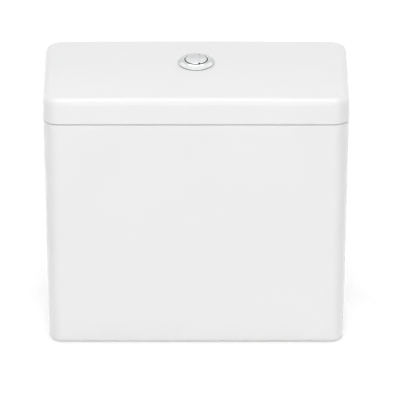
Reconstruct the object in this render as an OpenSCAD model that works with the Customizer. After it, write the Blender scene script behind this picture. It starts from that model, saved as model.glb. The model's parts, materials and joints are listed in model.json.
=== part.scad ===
// Close-coupled toilet cistern: a glazed tank with a lift-off lid, a dual-flush push button,
// a two-stage flush valve, a float-operated fill valve and the bolts that hold it to a pan.
// Millimetres, +Z up, front towards -Y, origin at the middle of the footprint on the floor.

/* [Ceramic shell] */
// Outside width of the lid
lid_w = 380; // [370:1:400]
// Outside depth of the lid
lid_d = 168; // [164:1:180]
// Height from the foot to the top of the lid
overall_h = 348; // [346:1:360]
// Height of the lid's outer face
lid_h = 34; // [31:1:38]
// Corner radius of the lid in plan
corner_r = 20; // [19:1:23]
// Fillet along the lid's top edge
lid_fillet = 9; // [6:1:11]
// How far each tank side leans in from rim to foot
tank_draft = 2.7; // [1:0.1:3.5]
// Wall thickness of the tank
wall_t = 9; // [8:0.5:10]
// Height of the skirt under the tank's floor
skirt_h = 42; // [41:1:44]

/* [Push button] */
// Outside radius of the chromed bezel
bezel_r = 22.75; // [22:0.25:24]
// Radius of the round button
button_r = 13.8; // [13.7:0.1:14.2]
// How far the split between the two buttons lies to the right of the middle
split_x = 4; // [3.5:0.1:4.5]
// Travel of each button
button_travel = 8; // [6:0.5:8]

/* [Flush valve] */
// How far the valve stands behind the middle of the tank
valve_y = 18; // [12:1:20]
// Radius of the valve seat's bore
seat_bore_r = 25.5; // [24:0.5:26]
// Radius of the outlet thread
outlet_r = 29.8; // [29.5:0.1:30.5]
// Level above the floor where the half flush opens
half_level = 132; // [126:1:136]
// Level of the overflow above the floor
overflow_level = 200; // [198:1:201]

/* [Fill valve] */
// Distance of the inlet from the middle, to the left
inlet_x = 125; // [120:1:132]
// How far the inlet stands behind the middle of the tank
inlet_y = 8; // [0:1:14]
// Radius of the inlet thread
inlet_r = 10.48; // [10.3:0.01:10.6]
// Travel of the float
float_travel = 12; // [8:1:12]

/* [Pan fixings] */
// Distance between the two fixing bolts
bolt_spacing = 165; // [155:1:170]
// Radius of the bolts' free ends
bolt_r = 4; // [3.9:0.1:4.2]

/* [Hidden] */
$fn = 64;
corner_fn = 32;
// Space left between pieces that sit against each other, and how far a cutter runs past a face
gap = 0.05;
cut = 1;
// Play of washers and of plain nuts on what they surround
ring_play = 0.2;
nut_play = 0.1;

// Colours
china = [0.93, 0.93, 0.93];
chrome = [0.82, 0.83, 0.84];
steel = [0.68, 0.69, 0.70];
brass = [0.78, 0.64, 0.34];
white_plastic = [0.90, 0.91, 0.90];
grey_plastic = [0.62, 0.65, 0.68];
blue_plastic = [0.16, 0.36, 0.56];
rubber = [0.10, 0.10, 0.11];
silicone = [0.72, 0.30, 0.22];
foam = [0.20, 0.20, 0.21];

// Ceramic levels, and the corner centres that tank and lid share
floor_t = 10;
z_floor = skirt_h + floor_t;
lid_gap = 1.2;
z_lid = overall_h - lid_h;
z_rim = z_lid - lid_gap;
corner_x = lid_w / 2 - corner_r;
corner_y = lid_d / 2 - corner_r;
lid_overhang = 0.5;
rim_corner_r = corner_r - lid_overhang;
foot_corner_r = rim_corner_r - tank_draft;
foot_fillet = 5;
floor_fillet = 6;
skirt_chamfer = 3;
edge_round = 0.8;
lid_draft = 0.6;
lid_top_t = 11;
z_lid_under = overall_h - lid_top_t;
lip_h = 8;
lip_root = 2;
lip_play = 3.5;
lip_r = rim_corner_r - wall_t - lip_play;
hollow_inset = 8;
hollow_r = 9;
hollow_fillet = 6;
buffer_r = 3.5;
buffer_x = corner_x + rim_corner_r - wall_t / 2;
buffer_y = 45;
outlet_hole_r = outlet_r + 2.2;
bolt_hole_r = 7;
inlet_hole_r = inlet_r + 1.3;
notch_r = 20;
notch_top = 34;

// Push button. Heights are measured from the lid's top.
bezel_gasket_t = 0.5;
bezel_gasket_r = bezel_r - 1.2;
bezel_bore_r = button_r + 0.6;
bezel_edge_h = 0.6;
bezel_edge_round = 0.3;
bezel_lip_r = bezel_bore_r + 2.5;
bezel_lip_h = 3.4;
crest_r = bezel_bore_r + 1.5;
crest_h = 4;
crest_round = 0.2;
sleeve_r = 17.5;
sleeve_len = 30;
lid_hole_r = 20;
bezel_washer_t = 1.6;
bezel_washer_r = 26;
bezel_nut_h = 9;
bezel_nut_r = 23;
bezel_nut_lobes = 10;
bezel_nut_lobe_r = 2.5;
guide_top = -18;
guide_wall = 1.15;
guide_floor_t = 3;
guide_r = bezel_bore_r - gap;
stem_play = 0.3;
full_boss_wall = 2;
half_boss_wall = 1.4;
button_edge_h = 4.4;
button_round = 0.6;
button_dome = 0.6;
button_bottom = guide_top + button_travel + 3;
button_top_t = 2;
button_under = button_edge_h + button_round - button_top_t;
button_wall = 0.95;
button_split_gap = 0.35;
split_notch_r = 1.2;
stem_bottom = -36;
full_stem_x = -5.3;
full_stem_r = 3.2;
full_rod_r = 2.2;
half_stem_x = 9.2;
half_stem_r = 2.5;
half_rod_r = 1.7;
rod_engagement = 10;
spring_turns = 7;
spring_steps = 8;
wire_sides = 6;
full_spring_r = 4.4;
full_wire_r = 0.4;
half_spring_r = 3.1;
half_wire_r = 0.35;

// Flush valve: base and seat
washer_t = 3;
z_flange = z_floor + washer_t;
flange_t = 4;
flange_r = 42;
z_seat = z_flange + 9;
seat_round = 0.6;
tail_bottom = 4;
spigot_r = outlet_r - 0.8;
spigot_top = 16;
base_washer_r = 40.5;
base_nut_h = 12;
base_nut_rim_h = 4;
base_nut_r = 37;
base_nut_lobes = 8;
base_nut_lobe_r = 4.5;
gasket_r = 46;
gasket_round = 3;

// Flush valve: tower
tower_post_at = 36;
tower_post_w = 6;
tower_ring_r = 39;
tower_ring_h = 7;
tower_bore_r = 32.5;
z_guide_plate = z_floor + 192;
guide_plate_t = 4;
guide_play = 0.4;
window_r = 8;
window_at = 26.5;
z_head = z_floor + 210;
head_t = 5;
head_r = 40;
head_bore_r = 16;
head_rim_t = 2;
head_rim_h = 3;
peg_r = 2;
peg_h = 4;

// Flush valve: the two stages
seat_clear = 0.2;
seal_t = 3;
seal_inset = 0.5;
z_canister = z_seat + seat_clear + seal_t;
canister_r = 24.5;
canister_bore_r = 22;
canister_flange_r = 31;
canister_flange_t = 4;
canister_taper_h = 4;
z_canister_arm = z_floor + 68;
z_half_seat = z_floor + half_level;
z_overflow = z_floor + overflow_level;
tube_r = 14;
tube_bore_r = 12.4;
tube_foot = z_half_seat - 36;
tube_flange_r = 28;
tube_flange_t = 3;
tube_taper_h = 1.5;
fin_t = 2;
fin_h = 32;
fin_play = 0.5;
z_tube_arm = z_half_seat + 8;
float_fit = 0.1;
float_skin = 1.3;
float_top_t = 1.5;
full_float_r = 31.2;
full_float_h = 26;
full_float_foot = z_canister_arm + 14;
half_float_r = 26;
half_float_h = 17;

// Levers. The push arm is the inner end, the lift arm the outer fork.
z_pivot = z_floor + 239;
push_arm = 20.5;
lift_arm = 30;
lever_half_t = 3;
lever_half_w = 6;
push_pad_r = 5;
fork_half_w = 7;
fork_slot = 3;
fork_start = 26;
fork_end = 40;
fork_root = 6;
rib_t = 3;
rib_h = 3;
rib_reach = 12;
lever_hub_r = 5;
pin_r = 2;
pin_end = 0.8;
ear_t = 3;
ear_gap = 0.5;
gusset_t = 2.4;
gusset_w = 7.5;
gusset_h = 13;
contact_gap = 0.3;
full_pivot_x = full_stem_x - push_arm;
half_pivot_x = half_stem_x + push_arm;
full_lift_x = full_pivot_x - lift_arm;
half_lift_x = half_pivot_x + lift_arm;
pull_rod_r = 2.4;
cross_bar_r = 2.5;
z_cross_bar = z_pivot + lever_half_t + cross_bar_r + contact_gap;
pull_arm_t = 6;
pull_arm_w = 8;
pull_boss_r = 5;
pull_collar_r = 4;
pull_collar_t = 2;
pull_tail = 4;

// Fill valve: inlet and stem
shank_bottom = 4;
shank_neck_r = inlet_r - 0.58;
shank_neck_z = 28;
shank_bore_r = 6;
shank_flange_r = 17;
shank_flange_t = 3.5;
inlet_washer_r = 16.5;
inlet_nut_r = 17;
inlet_nut_h = 12;
inlet_nut_rim_r = 18;
inlet_nut_rim_h = 3;
filter_r = 5;
filter_wall = 1;
filter_h = 21.5;
filter_rim_h = 3.5;
filter_slot_w = 1.2;
filter_slot_h = 12;
socket_r = 13;
socket_top = z_floor + 20;
riser_foot = z_floor + 10;
riser_r = 10.2;
riser_bore_r = 7.5;
riser_top = z_floor + 153;
height_tube_r = 7.2;
height_tube_bore_r = 5.2;
height_tube_foot = z_floor + 98;
collar_r = 13.5;
collar_lobes = 8;
collar_lobe_r = 1.8;
collar_skirt = 4;
collar_h = 9;

// Fill valve: head, lever and float
z_valve_head = z_floor + 198;
valve_head_h = 22;
valve_head_r = 17;
valve_neck_r = 11;
valve_neck_h = 6;
grip_r = 0.9;
grips = 12;
diaphragm_r = 15;
diaphragm_t = 2;
cap_r = 18;
cap_h = 12;
cap_chamfer = 3;
z_cap = z_valve_head + valve_head_h;
z_fill_pivot = z_floor + 242;
fill_pivot_x = -14;
fill_pin_r = 1.5;
fill_hub_r = 3.5;
fill_half_w = 3.5;
fill_half_t = 2;
fill_eye_r = 6;
fill_ear_t = 3;
fill_arm = 36;
fill_tilt = asin(float_travel / 2 / fill_arm);
link_x = fill_pivot_x + fill_arm * cos(fill_tilt / 2);
link_r = 2;
link_play = 1;
link_collar_r = 4;
link_collar_t = 1.9;
z_arm_end = z_fill_pivot - float_travel / 2;
eye_clear = 3.1;
level_nut_r = 4.2;
level_nut_h = 5.2;
level_nut_lobe_r = 0.8;
link_end = 10;
float_r = 30;
float_bore_r = 10.9;
float_wall = 1.6;
float_lid_t = 2;
float_foot = z_floor + 68;
float_h = 65;
float_boss_r = 4;
float_boss_h = 5;

// Fixings
bolt_shank_r = bolt_r - 0.5;
bolt_bottom = 3;
bolt_free_top = 16;
bolt_head_r = 7.5;
bolt_head_h = 5.5;
cone_t = 4;
cone_nose = 6;
cone_nose_r = 5.6;
cone_r = 13;
plate_washer_t = 1.6;
plate_washer_r = 11.5;
lower_washer_t = 3;
lower_washer_r = 12;
bolt_nut_h = 6.5;
wing_h = 9;
wing_span = 9;
wing_t = 3;
wing_web_h = 6;
wing_tip_r = 4.8;
plug_r = inlet_r - 0.2;
plug_bottom = 24;
plug_dome_r = 14;
plug_rim_h = 2.5;
plug_head_h = 6;

// Shared shapes

// Points of an elliptical arc about [cx, cy], from angle a0 to a1 in n steps
function arc(cx, cy, rx, ry, a0, a1, n) =
    [for (i = [0:n]) let (a = a0 + (a1 - a0) * i / n) [cx + rx * cos(a), cy + ry * sin(a)]];

// A block with rounded corners: the hull of one turned edge profile at each of its four corners
module corner_block(half_x, half_y, profile) {
    hull()
        for (sx = [-1, 1], sy = [-1, 1])
            translate([sx * half_x, sy * half_y, 0])
                rotate_extrude($fn = corner_fn) polygon(profile);
}

// A plain ring between two radii and two levels
module ring(r_in, r_out, z0, z1) {
    rotate_extrude() translate([r_in, z0]) square([r_out - r_in, z1 - z0]);
}

module disc(r, z0, z1) {
    translate([0, 0, z0]) cylinder(r = r, h = z1 - z0);
}

// A round bar along Y, as long as 2 * half_len, about the origin
module cross_pin(r, half_len) {
    translate([0, half_len, 0]) rotate([90, 0, 0]) cylinder(r = r, h = 2 * half_len);
}

module at_valve() {
    translate([0, valve_y, 0]) children();
}

module at_inlet(side = -1) {
    translate([side * inlet_x, inlet_y, 0]) children();
}

module at_bolts() {
    for (side = [-1, 1])
        translate([side * bolt_spacing / 2, valve_y, 0]) children();
}

// A round nut with grip lobes on its rim
module lobed_nut(bore_r, body_r, lobes, lobe_r, z0, z1) {
    difference() {
        union() {
            disc(body_r, z0, z1);
            for (i = [0:lobes - 1])
                rotate(i * 360 / lobes) translate([body_r, 0, 0]) disc(lobe_r, z0, z1);
        }
        disc(bore_r, z0 - cut, z1 + cut);
    }
}

// A hexagon nut with a round flange on top; corner_radius is measured to its corners
module flanged_nut(bore_r, corner_radius, rim_r, z0, z_rim_foot, z1) {
    difference() {
        union() {
            translate([0, 0, z0]) cylinder(r = corner_radius, h = z1 - z0, $fn = 6);
            disc(rim_r, z_rim_foot, z1);
        }
        disc(bore_r, z0 - cut, z1 + cut);
    }
}

// Ceramic shell

// Radius of the tank's outer corner at level z
function tank_corner_r(z) = foot_corner_r + tank_draft * z / z_rim;

tank_outside = concat(
    [[0, 0]],
    arc(foot_corner_r - foot_fillet, foot_fillet, foot_fillet, foot_fillet, -90, 0, 4),
    [[rim_corner_r, z_rim - edge_round], [rim_corner_r - edge_round, z_rim], [0, z_rim]]
);

floor_corner_r = tank_corner_r(z_floor) - wall_t;
mouth_corner_r = rim_corner_r - wall_t;
tank_inside = concat(
    [[0, z_floor]],
    arc(floor_corner_r - floor_fillet, z_floor + floor_fillet, floor_fillet, floor_fillet, -90, 0, 4),
    [[mouth_corner_r, z_rim - edge_round], [mouth_corner_r + edge_round, z_rim + cut], [0, z_rim + cut]]
);

skirt_corner_r = tank_corner_r(skirt_h) - wall_t;
skirt_inside = [
    [0, -cut], [foot_corner_r - wall_t, -cut], [skirt_corner_r, skirt_h - skirt_chamfer],
    [skirt_corner_r - skirt_chamfer, skirt_h], [0, skirt_h]
];

// A notch in the back of the skirt lets the supply hose through
module hose_notch() {
    reach = 2 * corner_r;
    translate([0, corner_y, notch_top - notch_r]) {
        rotate([-90, 0, 0]) cylinder(r = notch_r, h = reach);
        translate([-notch_r, 0, -notch_top]) cube([2 * notch_r, reach, notch_top]);
    }
}

module tank() {
    color(china) difference() {
        corner_block(corner_x, corner_y, tank_outside);
        corner_block(corner_x, corner_y, tank_inside);
        corner_block(corner_x, corner_y, skirt_inside);
        at_valve() disc(outlet_hole_r, skirt_h - cut, z_floor + cut);
        at_bolts() disc(bolt_hole_r, skirt_h - cut, z_floor + cut);
        for (side = [-1, 1]) {
            at_inlet(side) disc(inlet_hole_r, skirt_h - cut, z_floor + cut);
            translate([side * inlet_x, 0, 0]) hose_notch();
        }
    }
}

lid_outside = concat(
    [[0, z_lid], [corner_r - edge_round, z_lid], [corner_r, z_lid + edge_round]],
    arc(corner_r - lid_draft - lid_fillet, overall_h - lid_fillet, lid_fillet, lid_fillet, 0, 90, 6),
    [[0, overall_h]]
);

lip_foot = z_lid - lip_h;
lid_lip = [
    [0, lip_foot], [lip_r - edge_round, lip_foot], [lip_r, lip_foot + edge_round],
    [lip_r, z_lid + lip_root], [0, z_lid + lip_root]
];

lid_hollow = concat(
    [[0, lip_foot - cut], [hollow_r, lip_foot - cut]],
    arc(hollow_r - hollow_fillet, z_lid_under - hollow_fillet, hollow_fillet, hollow_fillet, 0, 90, 4),
    [[0, z_lid_under]]
);

module lid() {
    color(china) difference() {
        union() {
            corner_block(corner_x, corner_y, lid_outside);
            corner_block(corner_x, corner_y, lid_lip);
        }
        corner_block(corner_x - hollow_inset, corner_y - hollow_inset, lid_hollow);
        at_valve() disc(lid_hole_r, z_lid_under - cut, overall_h + cut);
    }
}

// Four soft pads carry the lid on the tank's rim
module lid_buffers() {
    color(rubber)
        for (sx = [-1, 1], sy = [-1, 1])
            translate([sx * buffer_x, sy * buffer_y, 0]) disc(buffer_r, z_rim + gap, z_lid - gap);
}

// Push button unit, carried by the lid

// A shallow cone with a low lip round the bore, on a sleeve through the lid
module button_bezel() {
    foot = overall_h + bezel_gasket_t;
    shoulder = foot + bezel_edge_h;
    crest = overall_h + crest_h;
    sleeve_end = overall_h - sleeve_len;
    color(chrome) at_valve() rotate_extrude() polygon(concat(
        [[sleeve_r, foot], [bezel_r, foot]],
        arc(bezel_r - bezel_edge_round, shoulder, bezel_edge_round, bezel_edge_round, 0, 70, 2),
        [[bezel_lip_r, overall_h + bezel_lip_h], [crest_r, crest]],
        arc(bezel_bore_r + crest_round, crest - crest_round, crest_round, crest_round, 90, 180, 3),
        [[bezel_bore_r, sleeve_end], [sleeve_r, sleeve_end]]
    ));
}

module bezel_gasket() {
    color(rubber) at_valve()
        ring(sleeve_r + ring_play, bezel_gasket_r, overall_h, overall_h + bezel_gasket_t - gap);
}

module bezel_washer() {
    color(rubber) at_valve()
        ring(sleeve_r + ring_play, bezel_washer_r, z_lid_under - bezel_washer_t, z_lid_under - gap);
}

module bezel_nut() {
    z1 = z_lid_under - bezel_washer_t - gap;
    color(white_plastic) at_valve()
        lobed_nut(sleeve_r + nut_play, bezel_nut_r, bezel_nut_lobes, bezel_nut_lobe_r, z1 - bezel_nut_h, z1);
}

// A clipped-in insert that guides the two stems and carries the return springs
module button_guide() {
    z0 = overall_h - sleeve_len;
    z1 = overall_h + guide_top;
    bore = guide_r - guide_wall;
    color(white_plastic) at_valve() difference() {
        union() {
            ring(bore, guide_r, z0, z1);
            disc(bore + guide_wall / 2, z1 - guide_floor_t, z1);
            translate([full_stem_x, 0, 0]) disc(full_stem_r + full_boss_wall, z0, z1 - cut);
            translate([half_stem_x, 0, 0]) disc(half_stem_r + half_boss_wall, z0, z1 - cut);
        }
        translate([full_stem_x, 0, 0]) disc(full_stem_r + stem_play, z0 - cut, z1 + cut);
        translate([half_stem_x, 0, 0]) disc(half_stem_r + stem_play, z0 - cut, z1 + cut);
    }
}

// The round button before it is split, slightly domed
button_top = overall_h + button_edge_h + button_round + button_dome;
button_outline = concat(
    [[0, overall_h + button_bottom], [button_r, overall_h + button_bottom]],
    arc(button_r - button_round, overall_h + button_edge_h, button_round, button_round, 0, 90, 3),
    [[0, button_top]]
);

// The part of a disc on one side of the split: side -1 is the large button, +1 the small one
module split_disc(side, r, inset, z0, z1) {
    x_edge = split_x + side * (button_split_gap / 2 + inset);
    reach = 3 * r;
    intersection() {
        disc(r, z0, z1);
        translate([side > 0 ? x_edge : x_edge - reach, -reach / 2, z0]) cube([reach, reach, z1 - z0]);
    }
}

// One button: a hollow shell with its corners at the split cut away, on a stem with a socket for its rod
module flush_button(side, stem_x, stem_r, rod_r) {
    z0 = overall_h + button_bottom;
    z1 = button_top + cut;
    z_under = overall_h + button_under;
    z_stem = overall_h + stem_bottom;
    split_end_y = sqrt(button_r * button_r - split_x * split_x);
    difference() {
        union() {
            difference() {
                intersection() {
                    rotate_extrude() polygon(button_outline);
                    split_disc(side, button_r + cut, 0, z0, z1);
                }
                split_disc(side, button_r - button_wall, button_wall, z0 - cut, z_under);
                for (sy = [-1, 1])
                    translate([split_x, sy * split_end_y, 0]) disc(split_notch_r, z0 - cut, z1);
            }
            translate([stem_x, 0, 0]) disc(stem_r, z_stem, z_under + cut);
        }
        translate([stem_x, 0, 0]) disc(rod_r + gap, z_stem - cut, z_stem + rod_engagement + cut);
    }
}

module full_flush_button() {
    color(chrome) at_valve() flush_button(-1, full_stem_x, full_stem_r, full_rod_r);
}

module half_flush_button() {
    color(chrome) at_valve() flush_button(1, half_stem_x, half_stem_r, half_rod_r);
}

// Centreline of a return spring, from the guide up to the underside of a button
function spring_line(r, wire_r) =
    let (
        foot = overall_h + guide_top + wire_r + gap,
        head = overall_h + button_under - wire_r - gap,
        steps = spring_steps * spring_turns
    )
    [for (i = [0:steps]) let (a = 360 * i / spring_steps)
        [r * cos(a), r * sin(a), foot + (head - foot) * i / steps]];

// Least gap between neighbouring turns, measured on the centreline's points
function turn_gap(line, wire_r) =
    min([for (i = [spring_steps:len(line) - 1]) norm(line[i] - line[i - spring_steps])]) - 2 * wire_r;

// A tube along a centreline that winds about the Z axis
module wound_tube(line, wire_r) {
    n = wire_sides;
    last = n * (len(line) - 1);
    points = [for (p = line, k = [0:n - 1])
        let (a = 360 * k / n, out = [p[0], p[1], 0] / norm([p[0], p[1]]))
        p + wire_r * (cos(a) * out + sin(a) * [0, 0, 1])];
    sides = [for (i = [0:n:last - n], k = [0:n - 1])
        let (a = i + k, b = i + (k + 1) % n)
        each [[a, a + n, b], [b, a + n, b + n]]];
    ends = [for (k = [1:n - 2]) each [[0, k, k + 1], [last, last + k + 1, last + k]]];
    polyhedron(points, concat(sides, ends));
}

full_spring_line = spring_line(full_spring_r, full_wire_r);
half_spring_line = spring_line(half_spring_r, half_wire_r);
echo(full_spring_turn_gap = turn_gap(full_spring_line, full_wire_r));
echo(half_spring_turn_gap = turn_gap(half_spring_line, half_wire_r));

module full_button_spring() {
    color(steel) at_valve() translate([full_stem_x, 0, 0]) wound_tube(full_spring_line, full_wire_r);
}

module half_button_spring() {
    color(steel) at_valve() translate([half_stem_x, 0, 0]) wound_tube(half_spring_line, half_wire_r);
}

// A push rod screws into a button's stem and bears on a lever with its round tip
module push_rod(stem_x, rod_r) {
    z_tip = z_pivot + lever_half_t + contact_gap + rod_r;
    z_top = overall_h + stem_bottom + rod_engagement;
    translate([stem_x, 0, 0]) {
        disc(rod_r, z_tip, z_top);
        translate([0, 0, z_tip]) sphere(r = rod_r);
    }
}

module full_push_rod() {
    color(white_plastic) at_valve() push_rod(full_stem_x, full_rod_r);
}

module half_push_rod() {
    color(white_plastic) at_valve() push_rod(half_stem_x, half_rod_r);
}

// Flush valve

module valve_base() {
    flange_top = z_flange + flange_t;
    color(white_plastic) at_valve() rotate_extrude() polygon([
        [seat_bore_r, tail_bottom], [spigot_r, tail_bottom], [spigot_r, spigot_top],
        [outlet_r, spigot_top], [outlet_r, z_flange], [flange_r, z_flange],
        [flange_r, flange_top], [spigot_r, flange_top],
        [spigot_r, z_seat - seat_round], [spigot_r - seat_round, z_seat],
        [seat_bore_r + seat_round, z_seat], [seat_bore_r, z_seat - seat_round]
    ]);
}

module base_washer() {
    color(rubber) at_valve() ring(outlet_r + ring_play, base_washer_r, z_floor + gap, z_flange - gap);
}

module base_nut() {
    z0 = skirt_h - base_nut_h;
    z_rim_foot = skirt_h - base_nut_rim_h;
    bore = outlet_r + nut_play;
    color(white_plastic) at_valve() {
        lobed_nut(bore, base_nut_r, base_nut_lobes, base_nut_lobe_r, z0, z_rim_foot);
        ring(bore, flange_r, z_rim_foot, skirt_h - gap);
    }
}

// The soft ring that seals the tank's outlet to the pan
module coupling_gasket() {
    z0 = spigot_top + 1;
    z1 = skirt_h - base_nut_h - gap;
    round_at = gasket_r - gasket_round;
    color(foam) at_valve() rotate_extrude() polygon(concat(
        [[outlet_r + ring_play, z0]],
        arc(round_at, z0 + gasket_round, gasket_round, gasket_round, -90, 0, 4),
        arc(round_at, z1 - gasket_round, gasket_round, gasket_round, 0, 90, 4),
        [[outlet_r + ring_play, z1]]
    ));
}

module at_posts() {
    for (i = [0:3])
        rotate(45 + 90 * i) translate([tower_post_at, 0, 0]) children();
}

// The cage: a foot ring, four posts and a plate that guides the overflow tube
module valve_tower() {
    z0 = z_flange + flange_t + gap;
    z1 = z_head - gap;
    plate_top = z_guide_plate + guide_plate_t;
    half_w = tower_post_w / 2;
    color(grey_plastic) at_valve() {
        ring(tower_bore_r, tower_ring_r, z0, z0 + tower_ring_h);
        at_posts() {
            translate([-half_w, -half_w, z0 + cut]) cube([tower_post_w, tower_post_w, z1 - z0 - cut]);
            disc(peg_r, z1 - cut, z_head + peg_h);
        }
        difference() {
            ring(tube_r + guide_play, tower_ring_r, z_guide_plate, plate_top);
            for (i = [0:3])
                rotate(90 * i) translate([window_at, 0, 0])
                    disc(window_r, z_guide_plate - cut, plate_top + cut);
        }
    }
}

// One ear of a lever bearing, standing on the tower head with a gusset on its outer face
module lever_ear(side) {
    foot = z_head + head_t - cut;
    translate([0, side * (lever_half_w + ear_gap + ear_t / 2), 0]) {
        translate([-lever_hub_r, -ear_t / 2, foot]) cube([2 * lever_hub_r, ear_t, z_pivot - foot]);
        translate([0, 0, z_pivot]) cross_pin(lever_hub_r, ear_t / 2);
        mirror([0, side > 0 ? 0 : 1, 0]) translate([-gusset_t / 2, 0, foot]) rotate([90, 0, 90])
            linear_extrude(gusset_t) polygon([[0, 0], [gusset_w, 0], [ear_t / 2, gusset_h], [0, gusset_h]]);
    }
}

module at_pivots() {
    for (pivot_x = [full_pivot_x, half_pivot_x])
        translate([pivot_x, 0, 0]) children();
}

pin_half_len = lever_half_w + ear_gap + ear_t + pin_end;

module tower_head() {
    z1 = z_head + head_t;
    color(blue_plastic) at_valve() difference() {
        union() {
            ring(head_bore_r, head_r, z_head, z1);
            ring(head_r - head_rim_t, head_r, z1 - cut, z1 + head_rim_h);
            at_pivots() for (side = [-1, 1]) lever_ear(side);
        }
        at_posts() disc(peg_r + gap, z_head - cut, z1 + cut);
        at_pivots() translate([0, 0, z_pivot]) cross_pin(pin_r + gap, pin_half_len + cut);
    }
}

module lever_pins() {
    color(steel) at_valve() at_pivots() translate([0, 0, z_pivot]) cross_pin(pin_r, pin_half_len);
}

// A ribbed rocker about the Y axis: its push arm points along +X, its forked lift arm along -X
module rocker() {
    t = 2 * lever_half_t;
    prong = fork_end - fork_start;
    difference() {
        union() {
            cross_pin(lever_hub_r, lever_half_w);
            translate([-fork_start, -lever_half_w, -lever_half_t])
                cube([fork_start + push_arm, 2 * lever_half_w, t]);
            translate([-fork_start, -rib_t / 2, -lever_half_t - rib_h])
                cube([fork_start + rib_reach, rib_t, rib_h + lever_half_t]);
            translate([push_arm, 0, 0]) disc(push_pad_r, -lever_half_t, lever_half_t);
            translate([-fork_end, -fork_half_w, -lever_half_t]) cube([prong + fork_root, 2 * fork_half_w, t]);
        }
        translate([-fork_end - cut, -fork_slot, -lever_half_t - cut])
            cube([prong + cut, 2 * fork_slot, t + 2 * cut]);
        cross_pin(pin_r + gap, lever_half_w + cut);
    }
}

module full_flush_lever() {
    color(blue_plastic) at_valve() translate([full_pivot_x, 0, z_pivot]) rocker();
}

module half_flush_lever() {
    color(white_plastic) at_valve() translate([half_pivot_x, 0, z_pivot]) rotate(180) rocker();
}

// An arm from a tube of radius r out to a pull rod at x, standing on level z
module pull_arm(x, r, z) {
    root = r - cut;
    reach = abs(x) - root;
    difference() {
        union() {
            translate([x > 0 ? root : -root - reach, -pull_arm_w / 2, z])
                cube([reach, pull_arm_w, pull_arm_t]);
            translate([x, 0, 0]) disc(pull_boss_r, z, z + pull_arm_t);
        }
        translate([x, 0, 0]) disc(pull_rod_r + gap, z - cut, z + pull_arm_t + cut);
    }
}

// A pull rod hangs by its cross bar on a lever's fork, and two collars hold an arm at level z between them
module pull_rod(x, z) {
    core = pull_rod_r - cut;
    z_arm_top = z + pull_arm_t + gap;
    translate([x, 0, 0]) {
        disc(pull_rod_r, z - pull_tail, z_cross_bar);
        translate([0, 0, z_cross_bar]) cross_pin(cross_bar_r, fork_half_w);
        ring(core, pull_collar_r, z - gap - pull_collar_t, z - gap);
        ring(core, pull_collar_r, z_arm_top, z_arm_top + pull_collar_t);
    }
}

// A downward-opening cup round a tube of radius r, which traps air
module ring_float(r, outer_r, z0, z1) {
    bore = r + float_fit;
    under = z1 - float_top_t;
    rotate_extrude() polygon([
        [bore, z0], [bore + float_skin, z0], [bore + float_skin, under], [outer_r - float_skin, under],
        [outer_r - float_skin, z0], [outer_r, z0], [outer_r, z1], [bore, z1]
    ]);
}

// The canister stands on the valve seat. Lifting it lets the whole charge out.
module flush_canister() {
    z_taper = z_canister + canister_flange_t;
    color(white_plastic) at_valve() {
        rotate_extrude() polygon([
            [canister_bore_r, z_canister], [canister_flange_r, z_canister], [canister_flange_r, z_taper],
            [canister_r, z_taper + canister_taper_h], [canister_r, z_half_seat],
            [canister_bore_r, z_half_seat]
        ]);
        pull_arm(full_lift_x, canister_r, z_canister_arm);
    }
}

module canister_seal() {
    z0 = z_seat + seat_clear;
    color(silicone) at_valve()
        ring(canister_bore_r + seal_inset, canister_flange_r - seal_inset, z0, z_canister - gap);
}

module full_flush_float() {
    color(grey_plastic) at_valve()
        ring_float(canister_r, full_float_r, full_float_foot, full_float_foot + full_float_h);
}

module full_pull_rod() {
    color(grey_plastic) at_valve() pull_rod(full_lift_x, z_canister_arm);
}

// The overflow tube closes the canister's top. Lifting it alone lets out the water above that level.
module overflow_tube() {
    z_face = z_half_seat + seat_clear + seal_t;
    z_taper = z_face + tube_flange_t;
    fin_root = (tube_r + tube_bore_r) / 2;
    fin_r = canister_bore_r - fin_play;
    color(white_plastic) at_valve() {
        rotate_extrude() polygon([
            [tube_bore_r, tube_foot], [tube_r, tube_foot], [tube_r, z_face], [tube_flange_r, z_face],
            [tube_flange_r, z_taper], [tube_r, z_taper + tube_taper_h],
            [tube_r, z_overflow], [tube_bore_r, z_overflow]
        ]);
        for (i = [0:2])
            rotate(60 + 120 * i) translate([fin_root, -fin_t / 2, tube_foot])
                cube([fin_r - fin_root, fin_t, fin_h]);
        pull_arm(half_lift_x, tube_r, z_tube_arm);
    }
}

module overflow_seal() {
    z0 = z_half_seat + seat_clear;
    color(silicone) at_valve() ring(tube_r + float_fit, tube_flange_r - seal_inset, z0, z0 + seal_t - gap);
}

module half_flush_float() {
    z0 = z_tube_arm + pull_arm_t + 1;
    color(grey_plastic) at_valve() ring_float(tube_r, half_float_r, z0, z0 + half_float_h);
}

module half_pull_rod() {
    color(grey_plastic) at_valve() pull_rod(half_lift_x, z_tube_arm);
}

// Fill valve

module inlet_shank() {
    flange_top = z_flange + shank_flange_t;
    socket_bore = riser_r + gap;
    socket_floor = riser_foot - gap;
    color(white_plastic) at_inlet() rotate_extrude() polygon([
        [shank_bore_r, shank_bottom], [inlet_r, shank_bottom], [inlet_r, shank_neck_z],
        [shank_neck_r, shank_neck_z], [shank_neck_r, z_flange], [shank_flange_r, z_flange],
        [shank_flange_r, flange_top], [socket_r, flange_top], [socket_r, socket_top],
        [socket_bore, socket_top], [socket_bore, socket_floor], [shank_bore_r, socket_floor]
    ]);
}

module inlet_washer() {
    color(rubber) at_inlet() ring(shank_neck_r + ring_play, inlet_washer_r, z_floor + gap, z_flange - gap);
}

module inlet_nut() {
    color(white_plastic) at_inlet()
        flanged_nut(shank_neck_r + nut_play, inlet_nut_r, inlet_nut_rim_r,
            skirt_h - inlet_nut_h, skirt_h - inlet_nut_rim_h, skirt_h - gap);
}

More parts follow.
